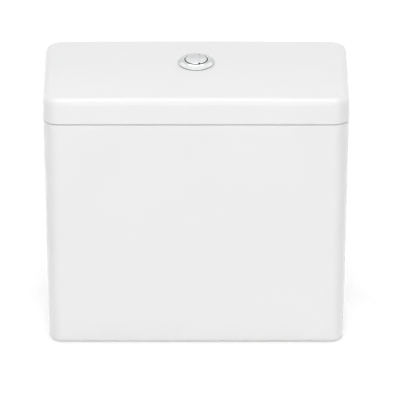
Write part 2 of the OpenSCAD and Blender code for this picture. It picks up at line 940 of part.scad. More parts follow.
// A slotted thimble in the mouth of the shank
module inlet_filter() {
    z0 = shank_bottom + 0.5;
    z1 = z0 + filter_h;
    rim_r = shank_bore_r - gap;
    bore = filter_r - filter_wall;
    color(grey_plastic) at_inlet() difference() {
        rotate_extrude() polygon([
            [bore, z0], [rim_r, z0], [rim_r, z0 + filter_rim_h], [filter_r, z0 + filter_rim_h],
            [filter_r, z1], [0, z1], [0, z1 - filter_wall], [bore, z1 - filter_wall]
        ]);
        for (i = [0:3])
            rotate(45 * i) translate([-filter_r - cut, -filter_slot_w / 2, z0 + filter_rim_h + 2])
                cube([2 * (filter_r + cut), filter_slot_w, filter_slot_h]);
    }
}

module riser_tube() {
    color(white_plastic) at_inlet() ring(riser_bore_r, riser_r, riser_foot, riser_top);
}

// The inner tube slides in the riser to set the valve's height
module height_tube() {
    color(grey_plastic) at_inlet()
        ring(height_tube_bore_r, height_tube_r, height_tube_foot, z_valve_head - gap);
}

module lock_collar() {
    color(blue_plastic) at_inlet() difference() {
        lobed_nut(height_tube_r + gap, collar_r, collar_lobes, collar_lobe_r,
            riser_top - collar_skirt, riser_top + collar_h);
        disc(riser_r + gap, riser_top - collar_skirt - cut, riser_top + gap);
    }
}

module fill_valve_body() {
    color(grey_plastic) at_inlet() difference() {
        union() {
            rotate_extrude() polygon([
                [height_tube_bore_r, z_valve_head], [valve_neck_r, z_valve_head],
                [valve_head_r, z_valve_head + valve_neck_h], [valve_head_r, z_cap],
                [height_tube_bore_r, z_cap]
            ]);
            for (i = [0:grips - 1])
                rotate(i * 360 / grips) translate([valve_head_r, 0, 0])
                    disc(grip_r, z_valve_head + valve_neck_h + cut, z_cap - diaphragm_t);
        }
        disc(diaphragm_r + ring_play, z_cap - diaphragm_t, z_cap + cut);
    }
}

module fill_diaphragm() {
    color(rubber) at_inlet() disc(diaphragm_r, z_cap - diaphragm_t + gap, z_cap - gap);
}

// The cap closes the valve and carries the lever's bearing
module fill_valve_cap() {
    z1 = z_cap + cap_h;
    ear_foot = z1 - cap_chamfer - cut;
    ear_at = fill_half_w + ear_gap + fill_ear_t / 2;
    color(blue_plastic) at_inlet() difference() {
        union() {
            rotate_extrude() polygon([
                [0, z_cap], [cap_r, z_cap], [cap_r, z1 - cap_chamfer], [cap_r - cap_chamfer, z1], [0, z1]
            ]);
            for (side = [-1, 1])
                translate([fill_pivot_x, side * ear_at, 0]) {
                    translate([-fill_hub_r, -fill_ear_t / 2, ear_foot])
                        cube([2 * fill_hub_r, fill_ear_t, z_fill_pivot - ear_foot]);
                    translate([0, 0, z_fill_pivot]) cross_pin(fill_hub_r, fill_ear_t / 2);
                }
        }
        translate([fill_pivot_x, 0, z_fill_pivot]) cross_pin(fill_pin_r + gap, ear_at + fill_ear_t);
    }
}

// The lever droops with the float down and rises as it fills
module fill_lever() {
    color(white_plastic) at_inlet() translate([fill_pivot_x, 0, z_fill_pivot]) rotate([0, fill_tilt, 0])
        difference() {
            union() {
                cross_pin(fill_hub_r, fill_half_w);
                translate([0, -fill_half_w, -fill_half_t]) cube([fill_arm, 2 * fill_half_w, 2 * fill_half_t]);
                translate([fill_arm, 0, 0]) disc(fill_eye_r, -fill_half_t, fill_half_t);
            }
            cross_pin(fill_pin_r + gap, fill_half_w + cut);
            translate([fill_arm, 0, 0]) disc(link_r + link_play, -fill_half_t - cut, fill_half_t + cut);
        }
}

module fill_lever_pin() {
    color(steel) at_inlet() translate([fill_pivot_x, 0, z_fill_pivot])
        cross_pin(fill_pin_r, fill_half_w + ear_gap + fill_ear_t + pin_end);
}

// An upturned cup that slides on the riser, with a boss for the link
module float_cup() {
    z1 = float_foot + float_h;
    under = z1 - float_lid_t;
    sleeve = float_bore_r + float_wall;
    skin = float_r - float_wall;
    color(grey_plastic) at_inlet() difference() {
        union() {
            rotate_extrude() polygon([
                [float_bore_r, float_foot], [sleeve, float_foot], [sleeve, under], [skin, under],
                [skin, float_foot], [float_r, float_foot], [float_r, under], [float_r - float_lid_t, z1],
                [float_bore_r, z1]
            ]);
            translate([link_x, 0, 0]) disc(float_boss_r, z1 - cut, z1 + float_boss_h);
        }
        translate([link_x, 0, 0]) disc(link_r + gap, z1, z1 + float_boss_h + cut);
    }
}

// The link hangs the float on the lever: a collar under the lever's eye, a thumb nut above it
module float_link() {
    z_collar = z_arm_end - eye_clear;
    color(white_plastic) at_inlet() translate([link_x, 0, 0]) {
        disc(link_r, float_foot + float_h + gap, z_arm_end + link_end);
        ring(link_r - cut, link_collar_r, z_collar - link_collar_t, z_collar);
    }
}

module level_nut() {
    z0 = z_arm_end + eye_clear + ring_play;
    color(blue_plastic) at_inlet() translate([link_x, 0, 0])
        lobed_nut(link_r + gap, level_nut_r, collar_lobes, level_nut_lobe_r, z0, z0 + level_nut_h);
}

// Pan fixings: heads, cone washers and plate washers stand inside the tank, nuts and wing nuts under it

bolt_bore_r = bolt_shank_r + nut_play;

module fixing_bolts() {
    z_head_foot = z_floor + cone_t + plate_washer_t;
    color(brass) at_bolts() {
        disc(bolt_r, bolt_bottom, bolt_free_top);
        disc(bolt_shank_r, bolt_free_top - cut, z_head_foot + cut);
        translate([0, 0, z_head_foot]) cylinder(r = bolt_head_r, h = bolt_head_h, $fn = 6);
    }
}

module bolt_cone_washers() {
    z1 = z_floor + cone_t - gap;
    color(rubber) at_bolts() rotate_extrude() polygon([
        [bolt_bore_r, z_floor - cone_nose], [cone_nose_r, z_floor - cone_nose],
        [bolt_hole_r - ring_play, z_floor], [cone_r, z_floor + gap], [cone_r - 1, z1], [bolt_bore_r, z1]
    ]);
}

module bolt_plate_washers() {
    z0 = z_floor + cone_t;
    color(brass) at_bolts() ring(bolt_bore_r, plate_washer_r, z0, z0 + plate_washer_t - gap);
}

module bolt_lower_washers() {
    color(rubber) at_bolts() ring(bolt_bore_r, lower_washer_r, skirt_h - lower_washer_t, skirt_h - gap);
}

module bolt_nuts() {
    z1 = skirt_h - lower_washer_t - gap;
    z_rim_foot = z1 - plate_washer_t;
    color(brass) at_bolts()
        flanged_nut(bolt_bore_r, bolt_head_r, plate_washer_r, z_rim_foot - bolt_nut_h, z_rim_foot, z1);
}

// Wing nuts, run up the bolts until the cistern is set on its pan
module wing_nuts() {
    z0 = bolt_free_top + 1;
    foot_r = 6;
    head_r = 8;
    color(brass) at_bolts() difference() {
        union() {
            translate([0, 0, z0]) cylinder(r1 = foot_r, r2 = head_r, h = wing_h);
            for (side = [-1, 1]) {
                translate([side * wing_span - wing_span / 2, -wing_t / 2, z0 + 2])
                    cube([wing_span, wing_t, wing_web_h]);
                translate([side * (wing_span + wing_t), 0, z0 + wing_h / 2])
                    cross_pin(wing_tip_r, wing_t / 2);
            }
        }
        disc(bolt_bore_r, z0 - cut, z0 + wing_h + cut);
    }
}

// The spare inlet on the right is closed by a plug

module blanking_plug() {
    color(white_plastic) at_inlet(1) rotate_extrude() polygon([
        [0, plug_bottom], [plug_r - 1, plug_bottom], [plug_r, plug_bottom + 1], [plug_r, z_flange],
        [shank_flange_r, z_flange], [shank_flange_r, z_flange + plug_rim_h],
        [plug_dome_r, z_flange + plug_head_h], [0, z_flange + plug_head_h]
    ]);
}

module plug_washer() {
    color(rubber) at_inlet(1) ring(plug_r + ring_play, inlet_washer_r, z_floor + gap, z_flange - gap);
}

module plug_nut() {
    color(white_plastic) at_inlet(1)
        flanged_nut(plug_r + nut_play, inlet_nut_r, inlet_nut_rim_r,
            skirt_h - inlet_nut_h, skirt_h - inlet_nut_rim_h, skirt_h - gap);
}

tank();
lid();
lid_buffers();
button_bezel();
bezel_gasket();
bezel_washer();
bezel_nut();
button_guide();
full_flush_button();
half_flush_button();
full_button_spring();
half_button_spring();
full_push_rod();
half_push_rod();
valve_base();
base_washer();
base_nut();
coupling_gasket();
valve_tower();
tower_head();
lever_pins();
full_flush_lever();
half_flush_lever();
flush_canister();
canister_seal();
full_flush_float();
full_pull_rod();
overflow_tube();
overflow_seal();
half_flush_float();
half_pull_rod();
inlet_shank();
inlet_washer();
inlet_nut();
inlet_filter();
riser_tube();
height_tube();
lock_collar();
fill_valve_body();
fill_diaphragm();
fill_valve_cap();
fill_lever();
fill_lever_pin();
float_cup();
float_link();
level_nut();
fixing_bolts();
bolt_cone_washers();
bolt_plate_washers();
bolt_lower_washers();
bolt_nuts();
wing_nuts();
blanking_plug();
plug_washer();
plug_nut();
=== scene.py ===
"""A dual-flush toilet cistern: glazed tank and lid, chromed split push button, flush valve, fill valve and
fixings.

Shapes are worked out in millimetres as whole arrays of points, and put into metres when their mesh is made.
"""

import json

import bmesh
import bpy
import numpy as np
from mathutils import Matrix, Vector
from mathutils.geometry import tessellate_polygon


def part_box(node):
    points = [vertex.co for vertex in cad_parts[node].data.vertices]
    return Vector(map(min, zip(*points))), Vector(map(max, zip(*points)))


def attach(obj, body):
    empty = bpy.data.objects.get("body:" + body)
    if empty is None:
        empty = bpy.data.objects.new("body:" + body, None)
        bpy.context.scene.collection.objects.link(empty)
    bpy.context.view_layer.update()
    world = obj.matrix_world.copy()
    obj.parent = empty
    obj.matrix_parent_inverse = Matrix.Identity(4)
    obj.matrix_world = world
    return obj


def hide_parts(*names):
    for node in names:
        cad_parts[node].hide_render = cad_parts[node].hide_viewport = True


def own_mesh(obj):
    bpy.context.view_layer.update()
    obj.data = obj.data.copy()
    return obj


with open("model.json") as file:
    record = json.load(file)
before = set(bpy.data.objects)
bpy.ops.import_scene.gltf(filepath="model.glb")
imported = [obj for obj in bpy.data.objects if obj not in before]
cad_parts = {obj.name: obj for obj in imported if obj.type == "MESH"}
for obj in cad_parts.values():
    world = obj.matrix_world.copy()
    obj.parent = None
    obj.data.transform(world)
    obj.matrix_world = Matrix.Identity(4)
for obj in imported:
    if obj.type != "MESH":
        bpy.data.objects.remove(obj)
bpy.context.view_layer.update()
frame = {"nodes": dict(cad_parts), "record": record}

SLOT_OF = {row["node"]: row["material_slot"] for row in frame["record"]["subparts"]}
BODY_OF = {node: body for body, nodes in frame["record"]["behaviour"]["bodies"].items() for node in nodes}
MM = 0.001
FULL_TURN = 2 * np.pi
LEFT, RIGHT = -1, 1
SHARP_ANGLE = np.radians(32)
MERGE_WITHIN = 2e-6


def node_box(node):
    """Lowest and highest corner of a solid, in millimetres."""
    low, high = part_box(node)
    return np.array(low) / MM, np.array(high) / MM


def middle(node):
    """Middle of a solid's box, in millimetres."""
    return sum(node_box(node)) / 2


# Sizes of the ceramic, in millimetres

LID_LOW, LID_HIGH = node_box("lid")
TANK_HIGH = node_box("tank")[1]
CORNER_R = 20
CORNER_X = LID_HIGH[0] - CORNER_R
CORNER_Y = LID_HIGH[1] - CORNER_R
TANK_RIM = 312.0
RIM_R = TANK_HIGH[0] - CORNER_X
TANK_DRAFT = 2.7
WALL = 9
FLOOR_TOP = 52
FLOOR_UNDER = 42
FLOOR_FILLET = 6
FOOT_FILLET = 8
SKIRT_FILLET = 3
RIM_ROUND = 0.8
RIM_OUTER_ROUND = 1.6
NOTCH_R = 20
NOTCH_CENTRE = 14
NOTCH_REACH = 36
JAMB_ROUND = 0.7
FOOT_EDGE = 1
FLOOR_HOLE_EDGE = 1.2
WALL_LEVELS = [60, 130, 200, 270]
SKIRT_LEVEL = 12
BACK_END = 8
BACK_MIDDLE = 80

LID_TOP = LID_HIGH[2]
LID_LIP_FOOT = LID_LOW[2]
LID_FOOT = 313.3
LID_FILLET = 9
LID_DRAFT = 0.6
LID_CROWN = 1.2
LID_LIP_R = 7
LID_EDGE = 1.0
LID_SIDE_LEVELS = [330, 322]
LIP_ROOT_R = 1.2
HOLLOW_INSET = 8
HOLLOW_X = CORNER_X - HOLLOW_INSET
HOLLOW_Y = CORNER_Y - HOLLOW_INSET
HOLLOW_R = 9
HOLLOW_FILLET = 6
LID_CEILING = 337
BUTTON_HOLE_R = 20

VALVE = middle("button_bezel")[:2]
INLET = middle("riser_tube")[:2]
SPARE_INLET = middle("blanking_plug")[:2]
BOLT_AT = 82.5
BOLTS = [np.array([side * BOLT_AT, VALVE[1]]) for side in (LEFT, RIGHT)]
OUTLET_HOLE_R = 32
BOLT_HOLE_R = 7
INLET_HOLE_R = 11.8


# Meshes from arrays


def grid_faces(rows, columns, wrap_rows=False, wrap_columns=True):
    """Four-sided faces between neighbouring points of a grid, closed on itself where it wraps."""
    row = np.arange(rows if wrap_rows else rows - 1)[:, None]
    column = np.arange(columns if wrap_columns else columns - 1)[None, :]
    next_row = (row + 1) % rows
    next_column = (column + 1) % columns
    corners = [row * columns + column, row * columns + next_column,
               next_row * columns + next_column, next_row * columns + column]
    return np.stack(np.broadcast_arrays(*corners), axis=-1).reshape(-1, 4)


def joined(*shapes):
    """One shape of several: their points in a row, each one's faces counted on from the points before it.
    A shape is its points and a list of face arrays."""
    starts = np.cumsum([0] + [len(points) for points, _ in shapes])
    points = np.concatenate([points for points, _ in shapes])
    return points, [group + start for start, (_, groups) in zip(starts, shapes) for group in groups]


def add_piece(node, shape):
    """Makes the finished piece that stands for a solid: merges the shape's seams and poles, turns its faces
    outwards and shades it smooth up to a sharp angle, with the solid's own body and material slot."""
    points, groups = shape
    name = "finished_" + node
    mesh = bpy.data.meshes.new(name)
    mesh.from_pydata((points * MM).tolist(), [], [face for group in groups for face in group.tolist()])
    work = bmesh.new()
    work.from_mesh(mesh)
    bmesh.ops.remove_doubles(work, verts=work.verts, dist=MERGE_WITHIN)
    bmesh.ops.recalc_face_normals(work, faces=work.faces)
    work.to_mesh(mesh)
    work.free()
    mesh.shade_smooth()
    mesh.set_sharp_from_angle(angle=SHARP_ANGLE)
    piece = bpy.data.objects.new(name, mesh)
    bpy.context.scene.collection.objects.link(piece)
    mesh.materials.append(FINISHES[SLOT_OF[node]])
    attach(piece, BODY_OF[node])
    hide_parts(node)
    return piece


def arc(middle_at, radius, start, end, steps=4):
    """Points of an arc: its middle plus the radius times the cosine and sine of an angle in degrees."""
    angle = np.radians(np.linspace(start, end, steps + 1))[:, None]
    return np.array(middle_at) + radius * np.hstack([np.cos(angle), np.sin(angle)])


def turned(outline, centre, turns=96, shaped=None):
    """The surface that a closed outline of (radius, height) sweeps round an upright axis through centre.
    shaped, where given, takes every point's angle, radius and height and returns its radius."""
    angle = np.linspace(0, FULL_TURN, turns, endpoint=False)[:, None]
    radius, height = outline[None, :, 0], outline[None, :, 1]
    if shaped:
        radius = shaped(angle, radius, height)
    x = centre[0] + radius * np.cos(angle)
    y = centre[1] + radius * np.sin(angle)
    points = np.stack(np.broadcast_arrays(x, y, height), axis=-1).reshape(-1, 3)
    return points, [grid_faces(turns, outline.shape[0], wrap_rows=True)]


def stacked(rows, wrap_rows=True):
    """The surface through a stack of closed rings, each an array of as many points."""
    grid = np.stack(rows)
    return grid.reshape(-1, 3), [grid_faces(len(rows), grid.shape[1], wrap_rows)]


# Profiles and plates

# A point that keeps a side flat lies beyond an arc by a share of the rounding, or of the room that is left
HOLD_SHARE = 0.25
HOLD_ROOM = 0.4
SAME_POINT = 1e-6

# Points to one pitch of a thread and to one grip lobe, and the height of a step on a hexagon
THREAD_STEPS = 8
LOBE_STEPS = 24
HEX_STEP = 0.25


def lengths(ways):
    """Length of each row of an array, kept as a column."""
    return np.linalg.norm(ways, axis=1, keepdims=True)


def rounded(corners, steps=4):
    """A closed outline from corners (across, up, rounding). Each corner is cut back along both its sides by
    its rounding and bridged by a circular arc: a rational curve that the corner pulls with the sine of half
    its angle. A point beyond each end of an arc keeps the sides between arcs flat."""
    corner = np.array(corners, float)
    place, cut = corner[:, :2], corner[:, 2:]
    last_way = np.roll(place, 1, axis=0) - place
    next_way = np.roll(place, -1, axis=0) - place
    last_room = np.maximum(lengths(last_way) - cut - np.roll(cut, 1, axis=0), 0)
    next_room = np.maximum(lengths(next_way) - cut - np.roll(cut, -1, axis=0), 0)
    last_way = last_way / lengths(last_way)
    next_way = next_way / lengths(next_way)
    pull = np.sqrt((1 - np.sum(last_way * next_way, axis=1)) / 2)[:, None, None]
    t = np.linspace(0, 1, steps + 1)[None, :, None]
    weights = [(1 - t) ** 2, 2 * pull * t * (1 - t), t ** 2]
    controls = [place + cut * last_way, place, place + cut * next_way]
    curve = sum(w * c[:, None] for w, c in zip(weights, controls)) / sum(weights)
    lead = place + (cut + np.minimum(HOLD_SHARE * cut, HOLD_ROOM * last_room)) * last_way
    trail = place + (cut + np.minimum(HOLD_SHARE * cut, HOLD_ROOM * next_room)) * next_way
    line = np.concatenate([lead[:, None], curve, trail[:, None]], axis=1).reshape(-1, 2)
    return line[lengths(line - np.roll(line, 1, axis=0))[:, 0] > SAME_POINT]


def refined(outline, radius, step):
    """The outline with its upright sides at one radius split into short steps."""
    onward = np.roll(outline, -1, axis=0)
    upright = np.maximum(abs(outline[:, 0] - radius), abs(onward[:, 0] - radius)) < SAME_POINT
    parts = np.where(upright, np.ceil(abs(onward - outline)[:, 1] / step), 1).astype(int)
    index = np.repeat(np.arange(len(outline)), parts)
    share = (np.arange(len(index)) - np.repeat(np.cumsum(parts) - parts, parts)) / parts[index]
    return outline[index] + share[:, None] * (onward - outline)[index]


def circle_plan(radius, steps=96):
    """An anticlockwise circle about the origin."""
    return arc((0, 0), radius, 0, 360, steps)[:-1]


def drawn_in(plan, inset):
    """An anticlockwise plan moved inwards along its normals, which stand square to its neighbours' chord."""
    chord = np.roll(plan, -1, axis=0) - np.roll(plan, 1, axis=0)
    chord = chord / lengths(chord)
    return plan - inset * np.column_stack([chord[:, 1], -chord[:, 0]])


def hole_wall(hole, foot, top, edge):
    """The wall of a round hole (x, y, radius) between two levels, with rounded edges, and its ring at each
    face."""
    turns, radius = 64, hole[2]
    face_r = radius + edge * (1 + HOLD_SHARE)
    upper = arc((radius + edge, top - edge), edge, 90, 180)
    lower = arc((radius + edge, foot + edge), edge, 180, 270)
    outline = np.vstack([[(face_r, top)], upper, lower, [(face_r, foot)]])
    points, _ = turned(outline, hole[:2], turns)
    grid = points.reshape(turns, len(outline), 3)
    faces = grid_faces(turns, len(outline), wrap_rows=True, wrap_columns=False)
    return (points, [faces]), grid[:, 0], grid[:, -1]


def filled(outer, holes):
    """A flat face inside a ring with round holes left out, as triangles."""
    rings = [outer] + holes
    triangles = tessellate_polygon([[Vector(place) for place in line] for line in rings])
    return np.concatenate(rings), [np.array(triangles)]


def plate(plan, foot, top, edge, holes=()):
    """A plate between two levels: its plan is drawn in towards both faces, where its edges are rounded, and
    has round holes (x, y, radius) through it."""
    lower = arc((-edge, foot + edge), edge, -90, 0)
    upper = arc((-edge, top - edge), edge, 0, 90)
    face_out = -edge * (1 + HOLD_SHARE)
    outline = np.vstack([[(face_out, foot)], lower, upper, [(face_out, top)]])
    rows = [np.column_stack([drawn_in(plan, -out), np.full(len(plan), z)]) for out, z in outline]
    walls = [hole_wall(hole, foot, top, edge) for hole in holes]
    under = filled(rows[0], [low for _, _, low in walls])
    over = filled(rows[-1], [high for _, high, _ in walls])
    return joined(stacked(rows, wrap_rows=False), under, over, *[wall for wall, _, _ in walls])


def placed(shape, origin, across=(1, 0, 0), along=(0, 1, 0)):
    """A shape set at an origin, with its own x and y axes turned to two directions square to each other."""
    points, groups = shape
    axes = np.array([across, along, np.cross(across, along)])
    return points @ axes + np.array(origin), groups


def stood_up(shape, origin):
    """A shape set at an origin with its own y axis upright, so that its own z axis points to the front."""
    return placed(shape, origin, (1, 0, 0), (0, 0, 1))


def at_height(flat, height):
    """A place in plan, with its height."""
    return np.array([flat[0], flat[1], height])


def box_plan(left, right, low, high, edge):
    """A rectangle with equally rounded corners."""
    return rounded([(left, low, edge), (right, low, edge), (right, high, edge), (left, high, edge)])


def ring(bore, radius, foot, top, centre, edge=0.4):
    """A plain ring with rounded edges."""
    return turned(box_plan(bore, radius, foot, top, edge), centre)


def solid_bar(radius, foot, top, centre, edge=0.4):
    """A round bar with rounded ends."""
    corners = [(0, foot, 0), (radius, foot, edge), (radius, top, edge), (0, top, 0)]
    return turned(rounded(corners), centre, turns=48)


def screw(corners, centre, thread_r, pitch, depth, foot, top, turns=96):
    """A turned piece with a screw thread between two levels of its side at the thread's radius."""
    outline = refined(rounded(corners), thread_r, pitch / THREAD_STEPS)
    return turned(outline, centre, turns, threaded(thread_r, pitch, depth, foot, top))


def ear_shape(radius, foot, half_t, bore):
    """An upright ear with a round top, about the middle of its pin hole."""
    corners = [(-radius, foot, 0.2), (radius, foot, 0.2), (radius, radius, radius), (-radius, radius, radius)]
    return plate(rounded(corners, steps=8), -half_t, half_t, edge=0.4, holes=[(0, 0, bore)])


def lobed(body_r, lobes, lobe_r, foot=-np.inf, top=np.inf):
    """Radius of a body with grip lobes, each the far side of a circle about a point on the body's edge. Lobes
    rise from the body over a short height at each end, and points well inside the body keep their radius."""
    rim, rise = 1.2, 0.8

    def shaped(angle, radius, height):
        turn = FULL_TURN / lobes
        off = (angle + turn / 2) % turn - turn / 2
        chord = np.sqrt(np.maximum(lobe_r ** 2 - (body_r * np.sin(off)) ** 2, 0))
        swell = np.maximum(body_r * np.cos(off) + chord - body_r, 0)
        swell = swell * np.clip(np.minimum(height - foot, top - height) / rise, 0, 1)
        return np.where(radius > body_r - rim, np.maximum(radius, np.minimum(radius, body_r) + swell), radius)

    return shaped


def hexagonal(corner_r, foot, top=np.inf):
    """Radius of a hexagon bar whose ends are turned down by cones: its flat's distance over the cosine of the
    angle off the flat, but no more than the cone allows."""
    flat_r = corner_r * np.cos(np.pi / 6)
    cone_start, cone_slope = 0.15, 1.7

    def shaped(angle, radius, height):
        side = flat_r / np.cos(angle % (np.pi / 3) - np.pi / 6)
        cone = flat_r + cone_start + cone_slope * np.minimum(height - foot, top - height)
        return np.where(abs(radius - corner_r) < SAME_POINT, np.minimum(side, cone), radius)

    return shaped


def threaded(thread_r, pitch, depth, foot, top):
    """Radius of a screw thread: it sinks by the depth with a raised cosine of the height over the pitch less
    the angle, and fades out over one pitch at each end."""

    def shaped(angle, radius, height):
        groove = 0.5 - 0.5 * np.cos(FULL_TURN * height / pitch - angle)
        fade = np.clip(np.minimum(height - foot, top - height) / pitch, 0, 1)
        return np.where(abs(radius - thread_r) < SAME_POINT, radius - depth * fade * groove, radius)

    return shaped


def in_turn(*rules):
    """One rule for a radius made of several, each given the radius that the one before it returned."""

    def shaped(angle, radius, height):
        for rule in rules:
            radius = rule(angle, radius, height)
        return radius

    return shaped


# Ceramic

CORNER_STEPS = 20
SIDE_STEPS = 24
TOP_RINGS = 15
TOP_SPREAD = 1.4
CEILING_RINGS = 9
NOTCH_STEPS = 32
JAMB_STEPS = 4
BACK_STEPS = 16

# A ring this far beyond a rounding keeps the face beside it flat
FLAT_HOLD = 0.6
HOLE_HOLD = 0.5
FOOT_HOLD = 0.4


def wall_path(half_x, half_y, back_x=None):
    """Corner centres and outward normals along a rounded rectangle, anticlockwise from the right.
    Each corner turns its normal through a quarter about one centre, each side carries it along unturned.
    A wall at radius r lies at centre + r * normal. back_x are the places of the columns along the back."""
    centres, angles = [], []
    signs = [(1, 1), (-1, 1), (-1, -1), (1, -1)]
    for quarter, (sx, sy) in enumerate(signs):
        corner = np.array([sx * half_x, sy * half_y])
        onward = np.array(signs[(quarter + 1) % 4]) * [half_x, half_y]
        turn = np.pi / 2 * (quarter + np.linspace(0, 1, CORNER_STEPS + 1))
        share = np.linspace(0, 1, SIDE_STEPS + 1)[1:-1, None]
        side = corner + share * (onward - corner)
        if quarter == 0 and back_x is not None:
            side = np.stack([back_x, np.full_like(back_x, half_y)], axis=1)
        centres += [np.repeat(corner[None], len(turn), axis=0), side]
        angles += [turn, np.full(len(side), turn[-1])]
    angle = np.concatenate(angles)
    return np.concatenate(centres), np.stack([np.cos(angle), np.sin(angle)], axis=1)


def ring_at(path, radius, height):
    """A wall path's ring at a radius from its corner centres, at one height or at a height for each point."""
    centres, normals = path
    flat = centres + np.asarray(radius).reshape(-1, 1) * normals
    return np.column_stack([flat, np.broadcast_to(height, len(flat))])


def circle_towards(path, centre, radius, height):
    """A circle with one point in the direction of each point of a wall path."""
    way = path[0] + path[1] - centre
    way = way / lengths(way)
    return np.column_stack([centre + radius * way, np.full(len(way), height)])


def lid_shape():
    """The lid, closed like a ring about its button hole: up the hole, out over the crowned top, down the
    filleted edge and the leaning side, in under it to the lip, and back across the hollow's ceiling.
    The top drops from the middle to the ends with the square of x."""
    path = wall_path(CORNER_X, CORNER_Y)
    hollow = wall_path(HOLLOW_X, HOLLOW_Y)

    def hole(radius, height):
        """A circle about the button hole's axis."""
        return circle_towards(path, VALVE, radius, height)

    edge = LID_EDGE
    lower_edge = arc((BUTTON_HOLE_R + edge, LID_CEILING + edge), edge, 270, 180)
    upper_edge = arc((BUTTON_HOLE_R + edge, LID_TOP - edge), edge, 180, 90)
    rows = [hole(r, z) for r, z in np.vstack([lower_edge, upper_edge])]

    fillet_at = CORNER_R - LID_DRAFT - LID_FILLET
    inner = hole(BUTTON_HOLE_R + edge + HOLE_HOLD, LID_TOP)
    outer = ring_at(path, fillet_at - FLAT_HOLD, LID_TOP)
    rows += [inner + share * (outer - inner) for share in np.linspace(0, 1, TOP_RINGS) ** TOP_SPREAD]

    fillet_foot = LID_TOP - LID_FILLET
    fillet = arc((fillet_at, fillet_foot), LID_FILLET, 90, 0, steps=16)
    foot = LID_FOOT + RIM_ROUND
    side_z = np.array([fillet_foot - FLAT_HOLD, *LID_SIDE_LEVELS, foot + HOLE_HOLD])
    lean = CORNER_R - LID_DRAFT * (side_z - foot) / (fillet_foot - foot)
    foot_edge = arc((CORNER_R - RIM_ROUND, foot), RIM_ROUND, 0, -90)
    under = [(CORNER_R - RIM_ROUND - FOOT_HOLD, LID_FOOT), (LID_LIP_R + LIP_ROOT_R + FOOT_HOLD, LID_FOOT)]
    lip_root = arc((LID_LIP_R + LIP_ROOT_R, LID_FOOT - LIP_ROOT_R), LIP_ROOT_R, 90, 180)
    lip_edge = arc((LID_LIP_R - edge, LID_LIP_FOOT + edge), edge, 0, -90)
    outline = np.vstack([fillet, np.column_stack([lean, side_z]), foot_edge, under, lip_root, lip_edge])
    rows += [ring_at(path, r, z) for r, z in outline]
    outside = len(rows)

    hollow_at = HOLLOW_R - HOLLOW_FILLET
    hollow_edge = arc((HOLLOW_R + edge, LID_LIP_FOOT + edge), edge, 270, 180)
    hollow_top = arc((hollow_at, LID_CEILING - HOLLOW_FILLET), HOLLOW_FILLET, 0, 90, steps=8)
    rows += [ring_at(hollow, r, z) for r, z in np.vstack([hollow_edge, hollow_top])]
    outer = ring_at(hollow, hollow_at - FLAT_HOLD, LID_CEILING)
    inner = hole(BUTTON_HOLE_R + edge + HOLE_HOLD, LID_CEILING)
    rows += [outer + share * (inner - outer) for share in np.linspace(0, 1, CEILING_RINGS)]

    points, faces = stacked(rows)
    crowned = (np.arange(len(points)) < outside * len(path[0])) & (points[:, 2] > LID_FOOT)
    share = np.clip((points[:, 2] - LID_FOOT) / (fillet_foot - LID_FOOT), 0, 1) * crowned
    points[:, 2] -= share * LID_CROWN * (points[:, 0] / LID_HIGH[0]) ** 2
    return points, faces


def notched_back():
    """Columns along the tank's back, right to left, and the foot level at each: nought, but inside a hose
    notch a half circle on straight jambs, whose lower corners are rounded."""
    turn = np.linspace(0, np.pi, NOTCH_STEPS + 1)
    round_off = np.radians(np.linspace(90, 0, JAMB_STEPS + 1))
    jamb_x = NOTCH_R + JAMB_ROUND * (1 - np.cos(round_off))
    jamb_z = JAMB_ROUND * (1 - np.sin(round_off))
    across = np.concatenate([jamb_x, NOTCH_R * np.cos(turn), -jamb_x[::-1]])
    level = np.concatenate([jamb_z, NOTCH_CENTRE + NOTCH_R * np.sin(turn), jamb_z[::-1]])
    plain = np.linspace(BACK_MIDDLE, -BACK_MIDDLE, BACK_STEPS + 1)
    end = CORNER_X - BACK_END
    x = np.concatenate([[end], SPARE_INLET[0] + across, plain, INLET[0] + across, [-end]])
    foot = np.concatenate([[0], level, 0 * plain, level, [0]])
    return x, foot


